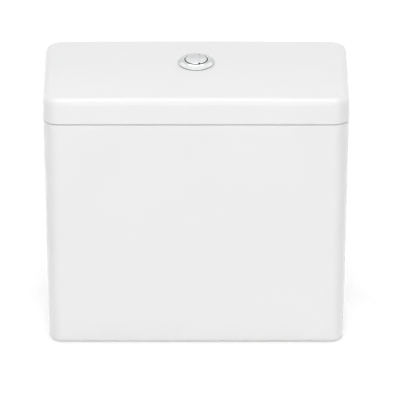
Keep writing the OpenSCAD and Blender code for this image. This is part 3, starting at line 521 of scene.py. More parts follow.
def tank_shape():
    """The tank: one outline carried round the wall path, from the floor up the inside, over the rim, down the
    leaning outside, round the foot and up inside the skirt, then the floor's two faces and its holes.
    Below the notches' reach each column is squeezed upwards to its own foot level."""
    back_x, back_foot = notched_back()
    path = wall_path(CORNER_X, CORNER_Y, back_x)
    foot = np.zeros(len(path[0]))
    foot[CORNER_STEPS + 1:CORNER_STEPS + 1 + len(back_x)] = back_foot

    inset = -WALL - FLOOR_FILLET
    skirt_in = -WALL - SKIRT_FILLET
    skirt_foot = FLOOR_UNDER - SKIRT_FILLET
    floor_edge = arc((inset, FLOOR_TOP + FLOOR_FILLET), FLOOR_FILLET, -90, 0, steps=8)
    inside = [(-WALL, z) for z in [*WALL_LEVELS, TANK_RIM - RIM_ROUND - FLAT_HOLD]]
    rim_in = arc((RIM_ROUND - WALL, TANK_RIM - RIM_ROUND), RIM_ROUND, 180, 90)
    rim_out = arc((-RIM_OUTER_ROUND, TANK_RIM - RIM_OUTER_ROUND), RIM_OUTER_ROUND, 90, 0, steps=6)
    outer_levels = [TANK_RIM - RIM_OUTER_ROUND - FLAT_HOLD, *WALL_LEVELS[::-1], NOTCH_REACH, SKIRT_LEVEL,
                    FOOT_FILLET + FLAT_HOLD]
    outside = [(0, z) for z in outer_levels]
    foot_out = arc((-FOOT_FILLET, FOOT_FILLET), FOOT_FILLET, 0, -90, steps=8)
    foot_in = arc((FOOT_EDGE - WALL, FOOT_EDGE), FOOT_EDGE, 270, 180)
    skirt = [(-WALL, z) for z in (SKIRT_LEVEL, NOTCH_REACH, skirt_foot)]
    skirt_top = arc((skirt_in, skirt_foot), SKIRT_FILLET, 0, 90, steps=6)
    outline = np.vstack([[(inset - FLAT_HOLD, FLOOR_TOP)], floor_edge, inside, rim_in, rim_out, outside,
                         foot_out, foot_in, skirt, skirt_top, [(skirt_in - FLAT_HOLD, FLOOR_UNDER)]])

    offset, height = outline[:, :1], outline[:, 1:]
    squeezed = np.where(height < NOTCH_REACH, foot + height * (1 - foot / NOTCH_REACH), height)
    radius = RIM_R - TANK_DRAFT * (1 - squeezed / TANK_RIM) + offset
    rows = [ring_at(path, r, z) for r, z in zip(radius, squeezed)]
    walls = stacked(rows, wrap_rows=False)

    places = [(VALVE, OUTLET_HOLE_R)] + [(bolt, BOLT_HOLE_R) for bolt in BOLTS]
    places += [(inlet, INLET_HOLE_R) for inlet in (INLET, SPARE_INLET)]
    levels = (FLOOR_UNDER, FLOOR_TOP, FLOOR_HOLE_EDGE)
    holes = [hole_wall((*centre, radius), *levels) for centre, radius in places]
    floor = filled(rows[0], [upper for _, upper, _ in holes])
    under = filled(rows[-1], [lower for _, _, lower in holes])
    return joined(walls, floor, under, *[wall for wall, _, _ in holes])


# Push button

BEZEL_LOW, BEZEL_HIGH = node_box("button_bezel")
BEZEL_R = (BEZEL_HIGH[0] - BEZEL_LOW[0]) / 2
BEZEL_TOP = 352.1
BEZEL_FOOT = 348.7
BEZEL_EDGE = 0.5
BEZEL_BORE_R = 14.6
LIP_R = 16.9
LIP_FOOT = 351.4
CREST_R = 15.9
SLEEVE_R = 17.5
SLEEVE_PITCH = 2.0
SLEEVE_THREAD = 0.45
BUTTON_R = 13.55
BUTTON_EDGE = 352.4
BUTTON_TOP = 353.6
BUTTON_ROUND = 0.6
BUTTON_DOME = 0.6
BUTTON_SKIRT = 341
BUTTON_UNDER = 351.0
BUTTON_WALL = 0.8
SPLIT_X = 4
SPLIT_END_Y = np.sqrt(BUTTON_R ** 2 - SPLIT_X ** 2)
SPLIT_GAP = 0.06
SPLIT_INSET_SHARE = 0.03
SPLIT_STEPS = 8
NOTCH_AT_SPLIT_R = 1.2
FULL_STEM_X = -5.3
FULL_STEM_R = 3.2
HALF_STEM_X = 9.2
HALF_STEM_R = 2.5
BUTTON_RINGS = 12
EDGE_RINGS = 7
UNDER_SHARES = (0.3, 0.7, 1)
SKIRT_DROP = 1
SKIRT_EDGE = 0.2
STEM_EDGE = 0.4
SPRING_TURNS = 7
SPRING_STEPS = 36
END_TURNS_CLOSER = 0.035
WIRE_SIDES = 12
WIRE_TAPER = 400


def bezel_shape():
    """The bezel, turned: an upright outer edge, a shallow cone, a rounded lip round the bore, then the bore
    and the threaded sleeve that goes through the lid."""
    sleeve_foot = BEZEL_LOW[2]
    corners = [(BEZEL_R, BEZEL_FOOT, 0.2), (BEZEL_R, BEZEL_FOOT + BEZEL_EDGE, 0.3), (LIP_R, LIP_FOOT, 0.3),
               (CREST_R, BEZEL_TOP, 0.4), (BEZEL_BORE_R, BEZEL_TOP, 0.2), (BEZEL_BORE_R, sleeve_foot, 0.3),
               (SLEEVE_R, sleeve_foot, 0.4), (SLEEVE_R, BEZEL_FOOT, 0.1)]
    outline = refined(rounded(corners, steps=8), SLEEVE_R, SLEEVE_PITCH / THREAD_STEPS)
    thread = threaded(SLEEVE_R, SLEEVE_PITCH, SLEEVE_THREAD, sleeve_foot, LID_CEILING)
    return turned(outline, VALVE, turns=160, shaped=thread)


def split_outline(side, inset):
    """Plan of one button, inset from its edge: the part of the disc beyond the split line on one side, with a
    round notch about each end of the line. The left side is the large button, the right the small. Along the
    line the inset is less, so that the two tops meet closely. The rim and the notch meet where the law of
    cosines says."""
    radius, notch_r = BUTTON_R - inset, NOTCH_AT_SPLIT_R + inset
    line = SPLIT_X + side * (SPLIT_GAP / 2 + SPLIT_INSET_SHARE * inset)
    split_end = np.array([SPLIT_X, SPLIT_END_Y])
    off = np.arccos((radius ** 2 + BUTTON_R ** 2 - notch_r ** 2) / (2 * radius * BUTTON_R))
    meet = np.arctan2(split_end[1], split_end[0]) - side * off
    rim_meets = radius * np.array([np.cos(meet), np.sin(meet)])
    line_meets = np.array([line, split_end[1] - np.sqrt(notch_r ** 2 - (line - SPLIT_X) ** 2)])
    ways = [rim_meets - split_end, line_meets - split_end]
    start, end = [np.degrees(np.arctan2(y, x)) % 360 for x, y in ways]
    start = start - 360 if side < 0 and start > end else start
    start = start + 360 if side > 0 and start < end else start
    notch = arc(split_end, notch_r, start, end, steps=8)
    first = notch if side > 0 else notch * [1, -1]
    last = (first * [1, -1])[::-1]
    half = np.degrees(meet)
    turn = (-half, half) if side > 0 else (half, 360 - half)
    rim = arc((0, 0), radius, *turn, steps=64)
    straight = np.linspace(first[-1], last[0], SPLIT_STEPS + 1)[1:-1]
    return np.vstack([rim[:-1], first, straight, last[:-1]])


def button_shape(node, side, stem_x, stem_r):
    """One button, from the middle of its domed top out over the rounded edge, down the skirt, up inside it,
    across to the stem and down the stem to its rounded end. The dome drops with the square of the radius."""
    stem_foot = node_box(node)[0][2]
    plan = split_outline(side, 0)
    middle_x = np.array([plan[:, 0].min() + plan[:, 0].max(), 0]) / 2

    def level(flat):
        """Height of the dome over places in plan."""
        across = np.sum(flat ** 2, axis=1) / (BUTTON_R - BUTTON_ROUND) ** 2
        return BUTTON_TOP - BUTTON_DOME * across

    def at(flat, height):
        """A ring of places in plan about the valve's axis, at one height or at a height for each."""
        return np.column_stack([flat + VALVE, np.broadcast_to(height, len(flat))])

    inner = split_outline(side, BUTTON_ROUND)
    rows = []
    for share in np.linspace(0, 1, BUTTON_RINGS + 1)[:-1]:
        flat = middle_x + share * (inner - middle_x)
        rows.append(at(flat, level(flat)))
    for angle in np.radians(np.linspace(90, 0, EDGE_RINGS)):
        flat = split_outline(side, BUTTON_ROUND * (1 - np.cos(angle)))
        rows.append(at(flat, level(inner) - BUTTON_ROUND * (1 - np.sin(angle))))
    edge, skirt_in = SKIRT_EDGE, BUTTON_WALL - SKIRT_EDGE
    skirt = [(0, BUTTON_EDGE - SKIRT_DROP), (0, BUTTON_SKIRT + edge), (edge, BUTTON_SKIRT),
             (skirt_in, BUTTON_SKIRT), (BUTTON_WALL, BUTTON_SKIRT + edge), (BUTTON_WALL, BUTTON_UNDER)]
    rows += [at(split_outline(side, inset), z) for inset, z in skirt]

    hub = np.array([stem_x, 0])
    way = plan - hub
    way = way / lengths(way)
    wall = split_outline(side, BUTTON_WALL)
    rows += [at(wall + share * (hub + stem_r * way - wall), BUTTON_UNDER) for share in UNDER_SHARES]
    stem = [(stem_r, stem_foot + STEM_EDGE), (stem_r - STEM_EDGE, stem_foot), (0, stem_foot)]
    rows += [at(hub + r * way, z) for r, z in stem]
    return stacked(rows, wrap_rows=False)


def spring_shape(node, stem_x, coil_r, wire_r):
    """A return spring: a wire circle carried along a helix, with its ends drawn in to a point. A sine of the
    share of the length, taken off the height, brings the first and last turns closer."""
    low, high = node_box(node)
    share = np.linspace(0, 1, SPRING_STEPS * SPRING_TURNS + 1)
    eased = share - END_TURNS_CLOSER * np.sin(FULL_TURN * share)
    angle = FULL_TURN * SPRING_TURNS * share
    out = np.column_stack([np.cos(angle), np.sin(angle), 0 * angle])
    height = low[2] + wire_r + (high[2] - low[2] - 2 * wire_r) * eased
    line = coil_r * out + np.column_stack([0 * angle, 0 * angle, height])
    line[:, :2] += VALVE + [stem_x, 0]
    round_wire = np.linspace(0, FULL_TURN, WIRE_SIDES, endpoint=False)[None, :, None]
    thick = wire_r * np.minimum(1, np.minimum(share, 1 - share) * WIRE_TAPER)[:, None, None]
    up = np.array([0, 0, 1])
    grid = line[:, None] + thick * (np.cos(round_wire) * out[:, None] + np.sin(round_wire) * up)
    return stacked(list(grid), wrap_rows=False)


def washer_shape(node, bore, centres, edge=0.4):
    """A plain ring as high as its solid about each centre. Its radius is half the solid's depth."""
    low, high = node_box(node)
    radius = (high[1] - low[1]) / 2
    return joined(*[ring(bore, radius, low[2], high[2], centre, edge) for centre in centres])


def buffers_shape():
    """Four soft pads, one near each end of the tank's long sides."""
    low, high = node_box("lid_buffers")
    radius, gap = 3.5, 0.05
    ends, sides = np.transpose([low + radius, high - radius])[:2]
    pads = [solid_bar(radius, TANK_RIM + gap, LID_FOOT - gap, (x, y), edge=0.3) for x in ends for y in sides]
    return joined(*pads)


def bezel_gasket_shape():
    """The thin gasket that seals the bezel to the lid, a little narrower than the bezel."""
    low, high = node_box("bezel_gasket")
    bore, inset = 17.7, 0.3
    return ring(bore, BEZEL_R - inset, low[2], high[2], VALVE, edge=0.1)


def bezel_nut_shape():
    """A plastic nut with ten grip lobes."""
    low, high = node_box("bezel_nut")
    bore, body_r, lobes, lobe_r, edge = 17.6, 23, 10, 2.5, 0.7
    outline = box_plan(bore, body_r, low[2], high[2], edge)
    return turned(outline, VALVE, LOBE_STEPS * lobes, lobed(body_r, lobes, lobe_r))


def guide_shape():
    """The stem guide: a ring wall, a floor with two holes, and a boss under each hole."""
    low, high = node_box("button_guide")
    outer_r = (high[0] - low[0]) / 2
    wall_t, floor_t, floor_lap, floor_drop, boss_drop = 1.15, 3, 0.6, 0.1, 1
    foot, top = low[2], high[2]
    slack, full_boss_r, half_boss_r = 0.3, 5.2, 3.9
    stems = [(FULL_STEM_X, FULL_STEM_R + slack, full_boss_r), (HALF_STEM_X, HALF_STEM_R + slack, half_boss_r)]
    wall = ring(outer_r - wall_t, outer_r, foot, top, VALVE)
    holes = [(x, 0, bore) for x, bore, _ in stems]
    disc = plate(circle_plan(outer_r - floor_lap), top - floor_t, top - floor_drop, edge=0.3, holes=holes)
    floor = placed(disc, at_height(VALVE, 0))
    boss_top = top - boss_drop
    bosses = [ring(bore, boss_r, foot, boss_top, VALVE + [x, 0], edge=0.25) for x, bore, boss_r in stems]
    return joined(wall, floor, *bosses)


def push_rod_shape(node, stem_x):
    """A push rod with a hemispherical tip below and a rounded end above."""
    low, high = node_box(node)
    radius, edge = (high[1] - low[1]) / 2, 0.4
    tip = arc((0, low[2] + radius), radius, -90, 0, steps=10)
    end = arc((radius - edge, high[2] - edge), edge, 0, 90)
    return turned(np.vstack([tip, end, [(0, high[2])]]), VALVE + [stem_x, 0], turns=40)


# Flush valve

FULL_PIVOT_X = -25.8
HALF_PIVOT_X = 29.7
FULL_LIFT_X = -55.8
HALF_LIFT_X = 59.7
FULL_ARM_FOOT = 120
HALF_ARM_FOOT = 192
PIVOT_Z = 291
LEVER_PIN_BORE = 2.05
POST_AT = 36


def valve_base_shape():
    """The outlet: a plain spigot, a coarse thread, a flange and the raised seat."""
    bore, spigot_r, thread_r, flange_r = 25.5, 29.0, 29.8, 42
    foot, thread_foot, flange_foot, flange_top, seat_z = 4, 16, 55, 59, 64
    pitch, depth, run_out = 3.2, 0.8, 0.5
    corners = [(bore, foot, 0.4), (spigot_r, foot, 1.0), (spigot_r, thread_foot, 0.2),
               (thread_r, thread_foot, 0.4), (thread_r, flange_foot, 0.1), (flange_r, flange_foot, 0.5),
               (flange_r, flange_top, 0.9), (spigot_r, flange_top, 0.8), (spigot_r, seat_z, 0.6),
               (bore, seat_z, 0.6)]
    return screw(corners, VALVE, thread_r, pitch, depth, thread_foot + run_out, flange_foot - run_out)


def base_nut_shape():
    """The outlet's back nut: a lobed body under a round rim."""
    bore, body_r, rim_r, lobes, lobe_r = 29.9, 37, 42, 8, 4.5
    foot, rim_foot, lobe_top, top = 30, 38, 39, 41.95
    corners = [(bore, foot, 0.6), (body_r, foot, 0.9), (body_r, rim_foot, 0.3), (rim_r, rim_foot, 0.5),
               (rim_r, top, 0.7), (bore, top, 0.6)]
    return turned(rounded(corners), VALVE, LOBE_STEPS * lobes, lobed(body_r, lobes, lobe_r, top=lobe_top))


def gasket_shape():
    """The soft coupling ring, well rounded outside."""
    low, high = node_box("coupling_gasket")
    bore, radius, soft = 30.0, (high[0] - low[0]) / 2, 3.0
    corners = [(bore, low[2], 0.8), (radius, low[2], soft), (radius, high[2], soft), (bore, high[2], 0.8)]
    return turned(rounded(corners, steps=8), VALVE)


def post_ways():
    """Directions from the valve's axis to the four posts."""
    angle = np.radians(45 + 90 * np.arange(4))
    return np.column_stack([np.cos(angle), np.sin(angle), 0 * angle])


def tower_shape():
    """The cage: a foot ring, four square posts with a peg on each, and the guide plate with its windows."""
    cage_r, foot_bore, stem_bore, half_w, peg_r, window_at, window_r = 39, 32.5, 14.4, 3, 2, 26.5, 8
    ring_foot, ring_top, post_foot, post_top = 59.05, 66.05, 60, 261.95
    guide_foot, guide_top, peg_foot, peg_top = 244, 248, 261, 266
    axis = at_height(VALVE, 0)
    post = plate(box_plan(-half_w, half_w, -half_w, half_w, edge=0.8), post_foot, post_top, edge=0.4)
    shapes = [ring(foot_bore, cage_r, ring_foot, ring_top, VALVE, edge=0.6)]
    for way in post_ways():
        shapes.append(placed(post, axis + POST_AT * way, way, (-way[1], way[0], 0)))
        shapes.append(solid_bar(peg_r, peg_foot, peg_top, VALVE + POST_AT * way[:2], edge=0.5))
    windows = [(window_at * x, window_at * y, window_r) for x, y in ((1, 0), (0, 1), (-1, 0), (0, -1))]
    guide = plate(circle_plan(cage_r), guide_foot, guide_top, edge=0.5, holes=[(0, 0, stem_bore)] + windows)
    return joined(*shapes, placed(guide, axis))


def tower_head_shape():
    """The head: a plate with a rim and four peg holes, and two pairs of gusseted ears with a rounded top."""
    plate_r, bore, peg_bore, foot, top = 39.9, 16, 2.05, 262, 267
    rim_bore, rim_r, rim_foot, rim_top = 38, 40, 262.2, 270
    ear_r, ear_at, half_t, sunk = 5, 8, 1.5, 0.5
    gusset_foot_w, gusset_top_w, gusset_h, gusset_half_t = 7.5, 1.5, 12.5, 1.2
    pegs = [(POST_AT * x, POST_AT * y, peg_bore) for x, y, _ in post_ways()]
    head = plate(circle_plan(plate_r), foot, top, edge=0.5, holes=[(0, 0, bore)] + pegs)
    shapes = [placed(head, at_height(VALVE, 0)), ring(rim_bore, rim_r, rim_foot, rim_top, VALVE, edge=0.5)]
    ear_foot = top - sunk - PIVOT_Z
    gusset_top = ear_foot + gusset_h
    ear = ear_shape(ear_r, ear_foot, half_t, LEVER_PIN_BORE)
    corners = [(0, ear_foot, 0.1), (gusset_foot_w, ear_foot, 0.3), (gusset_top_w, gusset_top, 0.4),
               (0, gusset_top, 0.1)]
    gusset = plate(rounded(corners), -gusset_half_t, gusset_half_t, edge=0.3)
    for pivot_x in (FULL_PIVOT_X, HALF_PIVOT_X):
        for side in (-1, 1):
            at = at_height(VALVE + [pivot_x, side * ear_at], PIVOT_Z)
            shapes.append(stood_up(ear, at))
            shapes.append(placed(gusset, at, (0, side, 0), (0, 0, 1)))
    return joined(*shapes)


def pins_shape(places, radius, half_length):
    """Hinge pins along y with rounded ends, one at each place."""
    pin = solid_bar(radius, -half_length, half_length, (0, 0), edge=0.4)
    return joined(*[stood_up(pin, place) for place in places])


def lever_pins_shape():
    """The two rockers' pins."""
    radius, half_length = 2, 10.3
    pivots = [at_height(VALVE + [x, 0], PIVOT_Z) for x in (FULL_PIVOT_X, HALF_PIVOT_X)]
    return pins_shape(pivots, radius, half_length)


def rocker_shape(pivot_x, turn):
    """A rocker: a bar with a round push pad at one end and a fork at the other, a rib under it and its hub.
    Turn is the side that the pad points to."""
    half_w, half_t, pad_x, pad_r, pad_round = 5.9, 3, 20.5, 5, 4.6
    fork_x, fork_root, fork_end, fork_w, slot = -20, -26, -40, 7, 3
    rib_start, rib_end, rib_tip, rib_foot, rib_top, rib_half_t = -25.8, 9, 12, -6, -2, 1.5
    hub_r, hub_half = 5, 6
    pad_end = pad_x + pad_r
    pad = [(pad_x, -half_w, 0.5), (pad_x, -pad_r, 0.3), (pad_end, -pad_r, pad_round),
           (pad_end, pad_r, pad_round), (pad_x, pad_r, 0.3), (pad_x, half_w, 0.5)]
    fork = [(fork_x, half_w, 0.4), (fork_x, fork_w, 0.4), (fork_end, fork_w, 1.5), (fork_end, slot, 1.5),
            (fork_root, slot, 2.0), (fork_root, -slot, 2.0), (fork_end, -slot, 1.5), (fork_end, -fork_w, 1.5),
            (fork_x, -fork_w, 0.4), (fork_x, -half_w, 0.4)]
    rib = [(rib_start, rib_foot, 1.0), (rib_end, rib_foot, 1.0), (rib_tip, rib_top, 0.3),
           (rib_start, rib_top, 0.3)]
    upright = joined(plate(rounded(rib), -rib_half_t, rib_half_t, edge=0.4),
                     ring(LEVER_PIN_BORE, hub_r, -hub_half, hub_half, (0, 0), edge=0.3))
    whole = joined(plate(rounded(pad + fork), -half_t, half_t, edge=0.5), stood_up(upright, (0, 0, 0)))
    return placed(whole, at_height(VALVE + [pivot_x, 0], PIVOT_Z), (turn, 0, 0), (0, turn, 0))


def pull_arm_shape(lift_x, root_r, foot):
    """An arm from a tube out to a bored boss for its pull rod."""
    bore, boss_r, half_w, thick, thinner, root_lap, boss_lap = 2.45, 5, 4, 6, 0.1, 0.8, 0.5
    side = np.sign(lift_x)
    left, right = np.sort([side * (root_r - root_lap), lift_x - side * (bore + boss_lap)])
    bar = box_plan(left, right, -half_w, half_w, edge=0.3)
    arm = plate(bar, foot + thinner, foot + thick - thinner, edge=0.6)
    boss = ring(bore, boss_r, foot, foot + thick, VALVE + [lift_x, 0], edge=0.5)
    return joined(placed(arm, at_height(VALVE, 0)), boss)


def canister_shape():
    """The full-flush canister: a flange over the seal, a tapered root, the tube and its arm."""
    bore, tube_r, flange_r = 22, 24.5, 31
    foot, flange_top, root_top, top = 67.2, 71.2, 75.2, 184
    corners = [(bore, foot, 0.3), (flange_r, foot, 0.4), (flange_r, flange_top, 0.8), (tube_r, root_top, 1.2),
               (tube_r, top, 0.5), (bore, top, 0.5)]
    return joined(turned(rounded(corners), VALVE), pull_arm_shape(FULL_LIFT_X, tube_r, FULL_ARM_FOOT))


def overflow_shape():
    """The overflow tube: a flange over the half-flush seal, three guide fins below it and the arm above."""
    bore, tube_r, flange_r, fin_root, fin_r, fin_half_t = 12.4, 14, 28, 13.2, 21.5, 1
    foot, fin_top, flange_foot, flange_top, root_top, top = 148, 180, 187.2, 190.2, 191.7, 252
    corners = [(bore, foot, 0.3), (tube_r, foot, 0.3), (tube_r, flange_foot, 0.3),
               (flange_r, flange_foot, 0.4), (flange_r, flange_top, 0.6), (tube_r, root_top, 0.3),
               (tube_r, top, 0.5), (bore, top, 0.5)]
    fin_corners = [(fin_root, foot, 0.3), (fin_r, foot, 3.0), (fin_r, fin_top, 1.0), (fin_root, fin_top, 0.3)]
    fin = plate(rounded(fin_corners), -fin_half_t, fin_half_t, edge=0.4)
    shapes = [turned(rounded(corners), VALVE), pull_arm_shape(HALF_LIFT_X, tube_r, HALF_ARM_FOOT)]
    for angle in np.radians([60, 180, 300]):
        shapes.append(placed(fin, at_height(VALVE, 0), (np.cos(angle), np.sin(angle), 0), (0, 0, 1)))
    return joined(*shapes)


def ring_float_shape(node, bore):
    """A ring float, open below, as high and wide as its solid: a thin skin inside and outside under a top."""
    low, high = node_box(node)
    radius, skin, top_t = (high[0] - low[0]) / 2, 1.3, 1.5
    foot, top, under = low[2], high[2], high[2] - top_t
    corners = [(bore, foot, 0.3), (bore + skin, foot, 0.3), (bore + skin, under, 0.4),
               (radius - skin, under, 0.4), (radius - skin, foot, 0.3), (radius, foot, 0.4),
               (radius, top, 1.2), (bore, top, 0.4)]
    return turned(rounded(corners), VALVE)


def pull_rod_shape(node, lift_x, arm_foot):
    """A pull rod: a round bar with two collars that hold the arm, and the cross bar that hangs on a fork."""
    rod_r, collar_r, collar_t, bar_r, half_length, arm_t, gap = 2.4, 4, 2, 2.5, 7, 6.05, 0.05
    low, high = node_box(node)
    foot, bar_z = low[2], high[2] - bar_r
    under, over = arm_foot - gap, arm_foot + arm_t
    lowest, highest = under - collar_t, over + collar_t
    corners = [(0, foot, 0), (rod_r, foot, 0.6), (rod_r, lowest, 0.1), (collar_r, lowest, 0.4),
               (collar_r, under, 0.3), (rod_r, under, 0.1), (rod_r, over, 0.1), (collar_r, over, 0.3),
               (collar_r, highest, 0.4), (rod_r, highest, 0.1), (rod_r, bar_z, 0.1), (0, bar_z, 0)]
    rod = turned(rounded(corners), VALVE + [lift_x, 0], turns=40)
    return joined(rod, pins_shape([at_height(VALVE + [lift_x, 0], bar_z)], bar_r, half_length))


# Fill valve

LINK = middle("float_link")[:2]
FILL_PIVOT = middle("fill_lever_pin")
FILL_TILT = np.radians(9.594)
FILL_PIN_BORE = 1.55
TAIL_PITCH = 1.8
TAIL_DEPTH = 0.6


def shank_shape():
    """The inlet: a threaded tail, a neck through the tank's floor, a flange and the riser's socket."""
    bore, thread_r, neck_r, flange_r, socket_r, socket_bore = 6, 10.48, 9.9, 17, 13, 10.25
    foot, neck_foot, flange_foot, flange_top, socket_foot, top = 4, 28, 55, 58.5, 61.95, 72
    thread_foot, thread_top = 4.6, 28.5
    corners = [(bore, foot, 0.4), (thread_r, foot, 0.6), (thread_r, neck_foot, 0.3), (neck_r, neck_foot, 0.2),
               (neck_r, flange_foot, 0.2), (flange_r, flange_foot, 0.5), (flange_r, flange_top, 0.8),
               (socket_r, flange_top, 0.8), (socket_r, top, 0.6), (socket_bore, top, 0.4),
               (socket_bore, socket_foot, 0.2), (bore, socket_foot, 0.4)]
    return screw(corners, INLET, thread_r, TAIL_PITCH, TAIL_DEPTH, thread_foot, thread_top)


def flanged_nut_shape(node, bore, corner_r, rim_h, centres):
    """A hexagon nut with a round rim on top, as high and wide as its solid, about each centre."""
    low, high = node_box(node)
    rim_r, foot, top = (high[1] - low[1]) / 2, low[2], high[2]
    rim_foot = top - rim_h
    corners = [(bore, foot, 0.5), (corner_r, foot, 0), (corner_r, rim_foot, 0), (rim_r, rim_foot, 0.3),
               (rim_r, top, 0.5), (bore, top, 0.5)]
    outline = refined(rounded(corners), corner_r, HEX_STEP)
    return joined(*[turned(outline, centre, shaped=hexagonal(corner_r, foot)) for centre in centres])


def filter_shape():
    """The inlet filter: a rim, a thimble whose wall is eight ribs, and its closed top."""
    bore, outer_r, rim_r, ribs, half_rib = 4, 5, 5.95, 8, 15
    rim_top, rib_foot, foot_top, cap_foot, rib_top, cap_t = 8, 9.6, 10, 22, 22.4, 1
    low, high = node_box("inlet_filter")
    foot, top, under = low[2], high[2], high[2] - cap_t
    foot_corners = [(bore, foot, 0.3), (rim_r, foot, 0.3), (rim_r, rim_top, 0.4), (outer_r, rim_top, 0.2),
                    (outer_r, foot_top, 0.1), (bore, foot_top, 0.1)]
    top_corners = [(bore, cap_foot, 0.1), (outer_r, cap_foot, 0.1), (outer_r, top, 0.8), (0, top, 0),
                   (0, under, 0), (bore, under, 0.3)]
    shapes = [turned(rounded(foot_corners), INLET), turned(rounded(top_corners), INLET)]
    plan = np.vstack([arc((0, 0), outer_r, -half_rib, half_rib, steps=8),
                      arc((0, 0), bore, half_rib, -half_rib, steps=8)])
    rib = plate(plan, rib_foot, rib_top, edge=0.15)
    for angle in FULL_TURN / ribs * (np.arange(ribs) + 0.5):
        way = (np.cos(angle), np.sin(angle), 0)
        shapes.append(placed(rib, at_height(INLET, 0), way, (-way[1], way[0], 0)))
    return joined(*shapes)


def lock_collar_shape():
    """The lobed collar that grips the height tube over the riser's end."""
    low, high = node_box("lock_collar")
    skirt_bore, bore, body_r, lobes, lobe_r, step_z = 10.25, 7.25, 13.5, 8, 1.8, 205.05
    corners = [(skirt_bore, low[2], 0.4), (body_r, low[2], 0.6), (body_r, high[2], 1.0), (bore, high[2], 0.4),
               (bore, step_z, 0.2), (skirt_bore, step_z, 0.2)]
    return turned(rounded(corners), INLET, LOBE_STEPS * lobes, lobed(body_r, lobes, lobe_r))


def valve_body_shape():
    """The fill valve's body: a tapered neck, a head with twelve grips and the diaphragm's recess."""
    bore, neck_r, head_r, recess_r, grips, grip_r, grip_steps = 5.2, 11, 17, 15.2, 12, 0.9, 20
    foot, head_foot, grip_foot, recess_z, top, side_step = 250, 256, 257, 270, 272, 0.6
    corners = [(bore, foot, 0.4), (neck_r, foot, 0.6), (head_r, head_foot, 1.2), (head_r, top, 0.4),
               (recess_r, top, 0.4), (recess_r, recess_z, 0.2), (bore, recess_z, 0.4)]
    outline = refined(rounded(corners), head_r, side_step)
    return turned(outline, INLET, grip_steps * grips, lobed(head_r, grips, grip_r, grip_foot, recess_z))


def diaphragm_shape():
    """The diaphragm, a soft round disc in the body's recess."""
    low, high = node_box("fill_diaphragm")
    radius = 15
    return solid_bar(radius, low[2], high[2], INLET, edge=0.5)


def valve_cap_shape():
    """The fill valve's cap: a disc with a sloping shoulder and two ears for the lever's pin."""
    foot = node_box("fill_valve_cap")[0][2]
    cap_r, top, shoulder, ear_r, ear_at, half_t, sunk = 18, 284, 3, 3.5, 5.5, 1.5, 1
    shoulder_z = top - shoulder
    corners = [(0, foot, 0), (cap_r, foot, 0.4), (cap_r, shoulder_z, 0.9), (cap_r - shoulder, top, 0.9),
               (0, top, 0)]
    ear = ear_shape(ear_r, shoulder_z - sunk - FILL_PIVOT[2], half_t, FILL_PIN_BORE)
    ears = [stood_up(ear, FILL_PIVOT + [0, side * ear_at, 0]) for side in (-1, 1)]
    return joined(turned(rounded(corners), INLET), *ears)


def fill_pin_shape():
    """The pin of the float's lever."""
    radius, half_length = 1.5, 7.8
    return pins_shape([FILL_PIVOT], radius, half_length)


def fill_lever_shape():
    """The float's lever: a hub, a bar that droops from it and an eye round the link."""
    half_w, half_t, bar_start, hub_r, hub_half = 3.4, 1.9, 2.2, 3.5, 3.5
    reach, eye_bore, eye_r, eye_half_t, eye_lap = 36, 3, 6, 2, 0.6
    hub = stood_up(ring(FILL_PIN_BORE, hub_r, -hub_half, hub_half, (0, 0), edge=0.3), (0, 0, 0))
    bar_end = reach - eye_bore - eye_lap
    bar = plate(box_plan(bar_start, bar_end, -half_w, half_w, edge=0.3), -half_t, half_t, edge=0.5)
    eye = ring(eye_bore, eye_r, -eye_half_t, eye_half_t, (reach, 0), edge=0.5)
    return placed(joined(hub, bar, eye), FILL_PIVOT, (np.cos(FILL_TILT), 0, -np.sin(FILL_TILT)))


def float_cup_shape():
    """The float: an upturned cup with a sleeve on the riser, a sloping top edge and a boss for the link."""
    bore, sleeve_r, skin_r, float_r, slope, boss_bore, boss_r = 10.9, 12.5, 28.4, 30, 2, 2.05, 4
    foot, under, boss_foot, top, boss_top = 120, 183, 184.5, 185, 190
    corners = [(bore, foot, 0.3), (sleeve_r, foot, 0.3), (sleeve_r, under, 0.5), (skin_r, under, 0.5),
               (skin_r, foot, 0.3), (float_r, foot, 0.5), (float_r, under, 0.8), (float_r - slope, top, 0.8),
               (bore, top, 0.5)]
    return joined(turned(rounded(corners), INLET), ring(boss_bore, boss_r, boss_foot, boss_top, LINK))


def link_shape():
    """The link: a thin rod with a collar under the lever's eye and a fine thread above it."""
    rod_r, collar_r, pitch, depth, run_out = 2, 4, 1.0, 0.25, 0.4
    collar_foot, collar_top, thread_foot = 283, 284.9, 285.5
    low, high = node_box("float_link")
    foot, top = low[2], high[2]
    corners = [(0, foot, 0), (rod_r, foot, 0.4), (rod_r, collar_foot, 0.1), (collar_r, collar_foot, 0.4),
               (collar_r, collar_top, 0.4), (rod_r, collar_top, 0.1), (rod_r, top, 0.5), (0, top, 0)]
    return screw(corners, LINK, rod_r, pitch, depth, thread_foot, top - run_out, turns=40)


def level_nut_shape():
    """The thumb nut on the link, with eight grip lobes."""
    low, high = node_box("level_nut")
    bore, body_r, lobes, lobe_r, lobe_steps = 2.05, 4.2, 8, 0.8, 16
    corners = [(bore, low[2], 0.3), (body_r, low[2], 0.4), (body_r, high[2], 0.6), (bore, high[2], 0.3)]
    return turned(rounded(corners), LINK, lobe_steps * lobes, lobed(body_r, lobes, lobe_r))


# Fixings

BOLT_BORE = 3.6


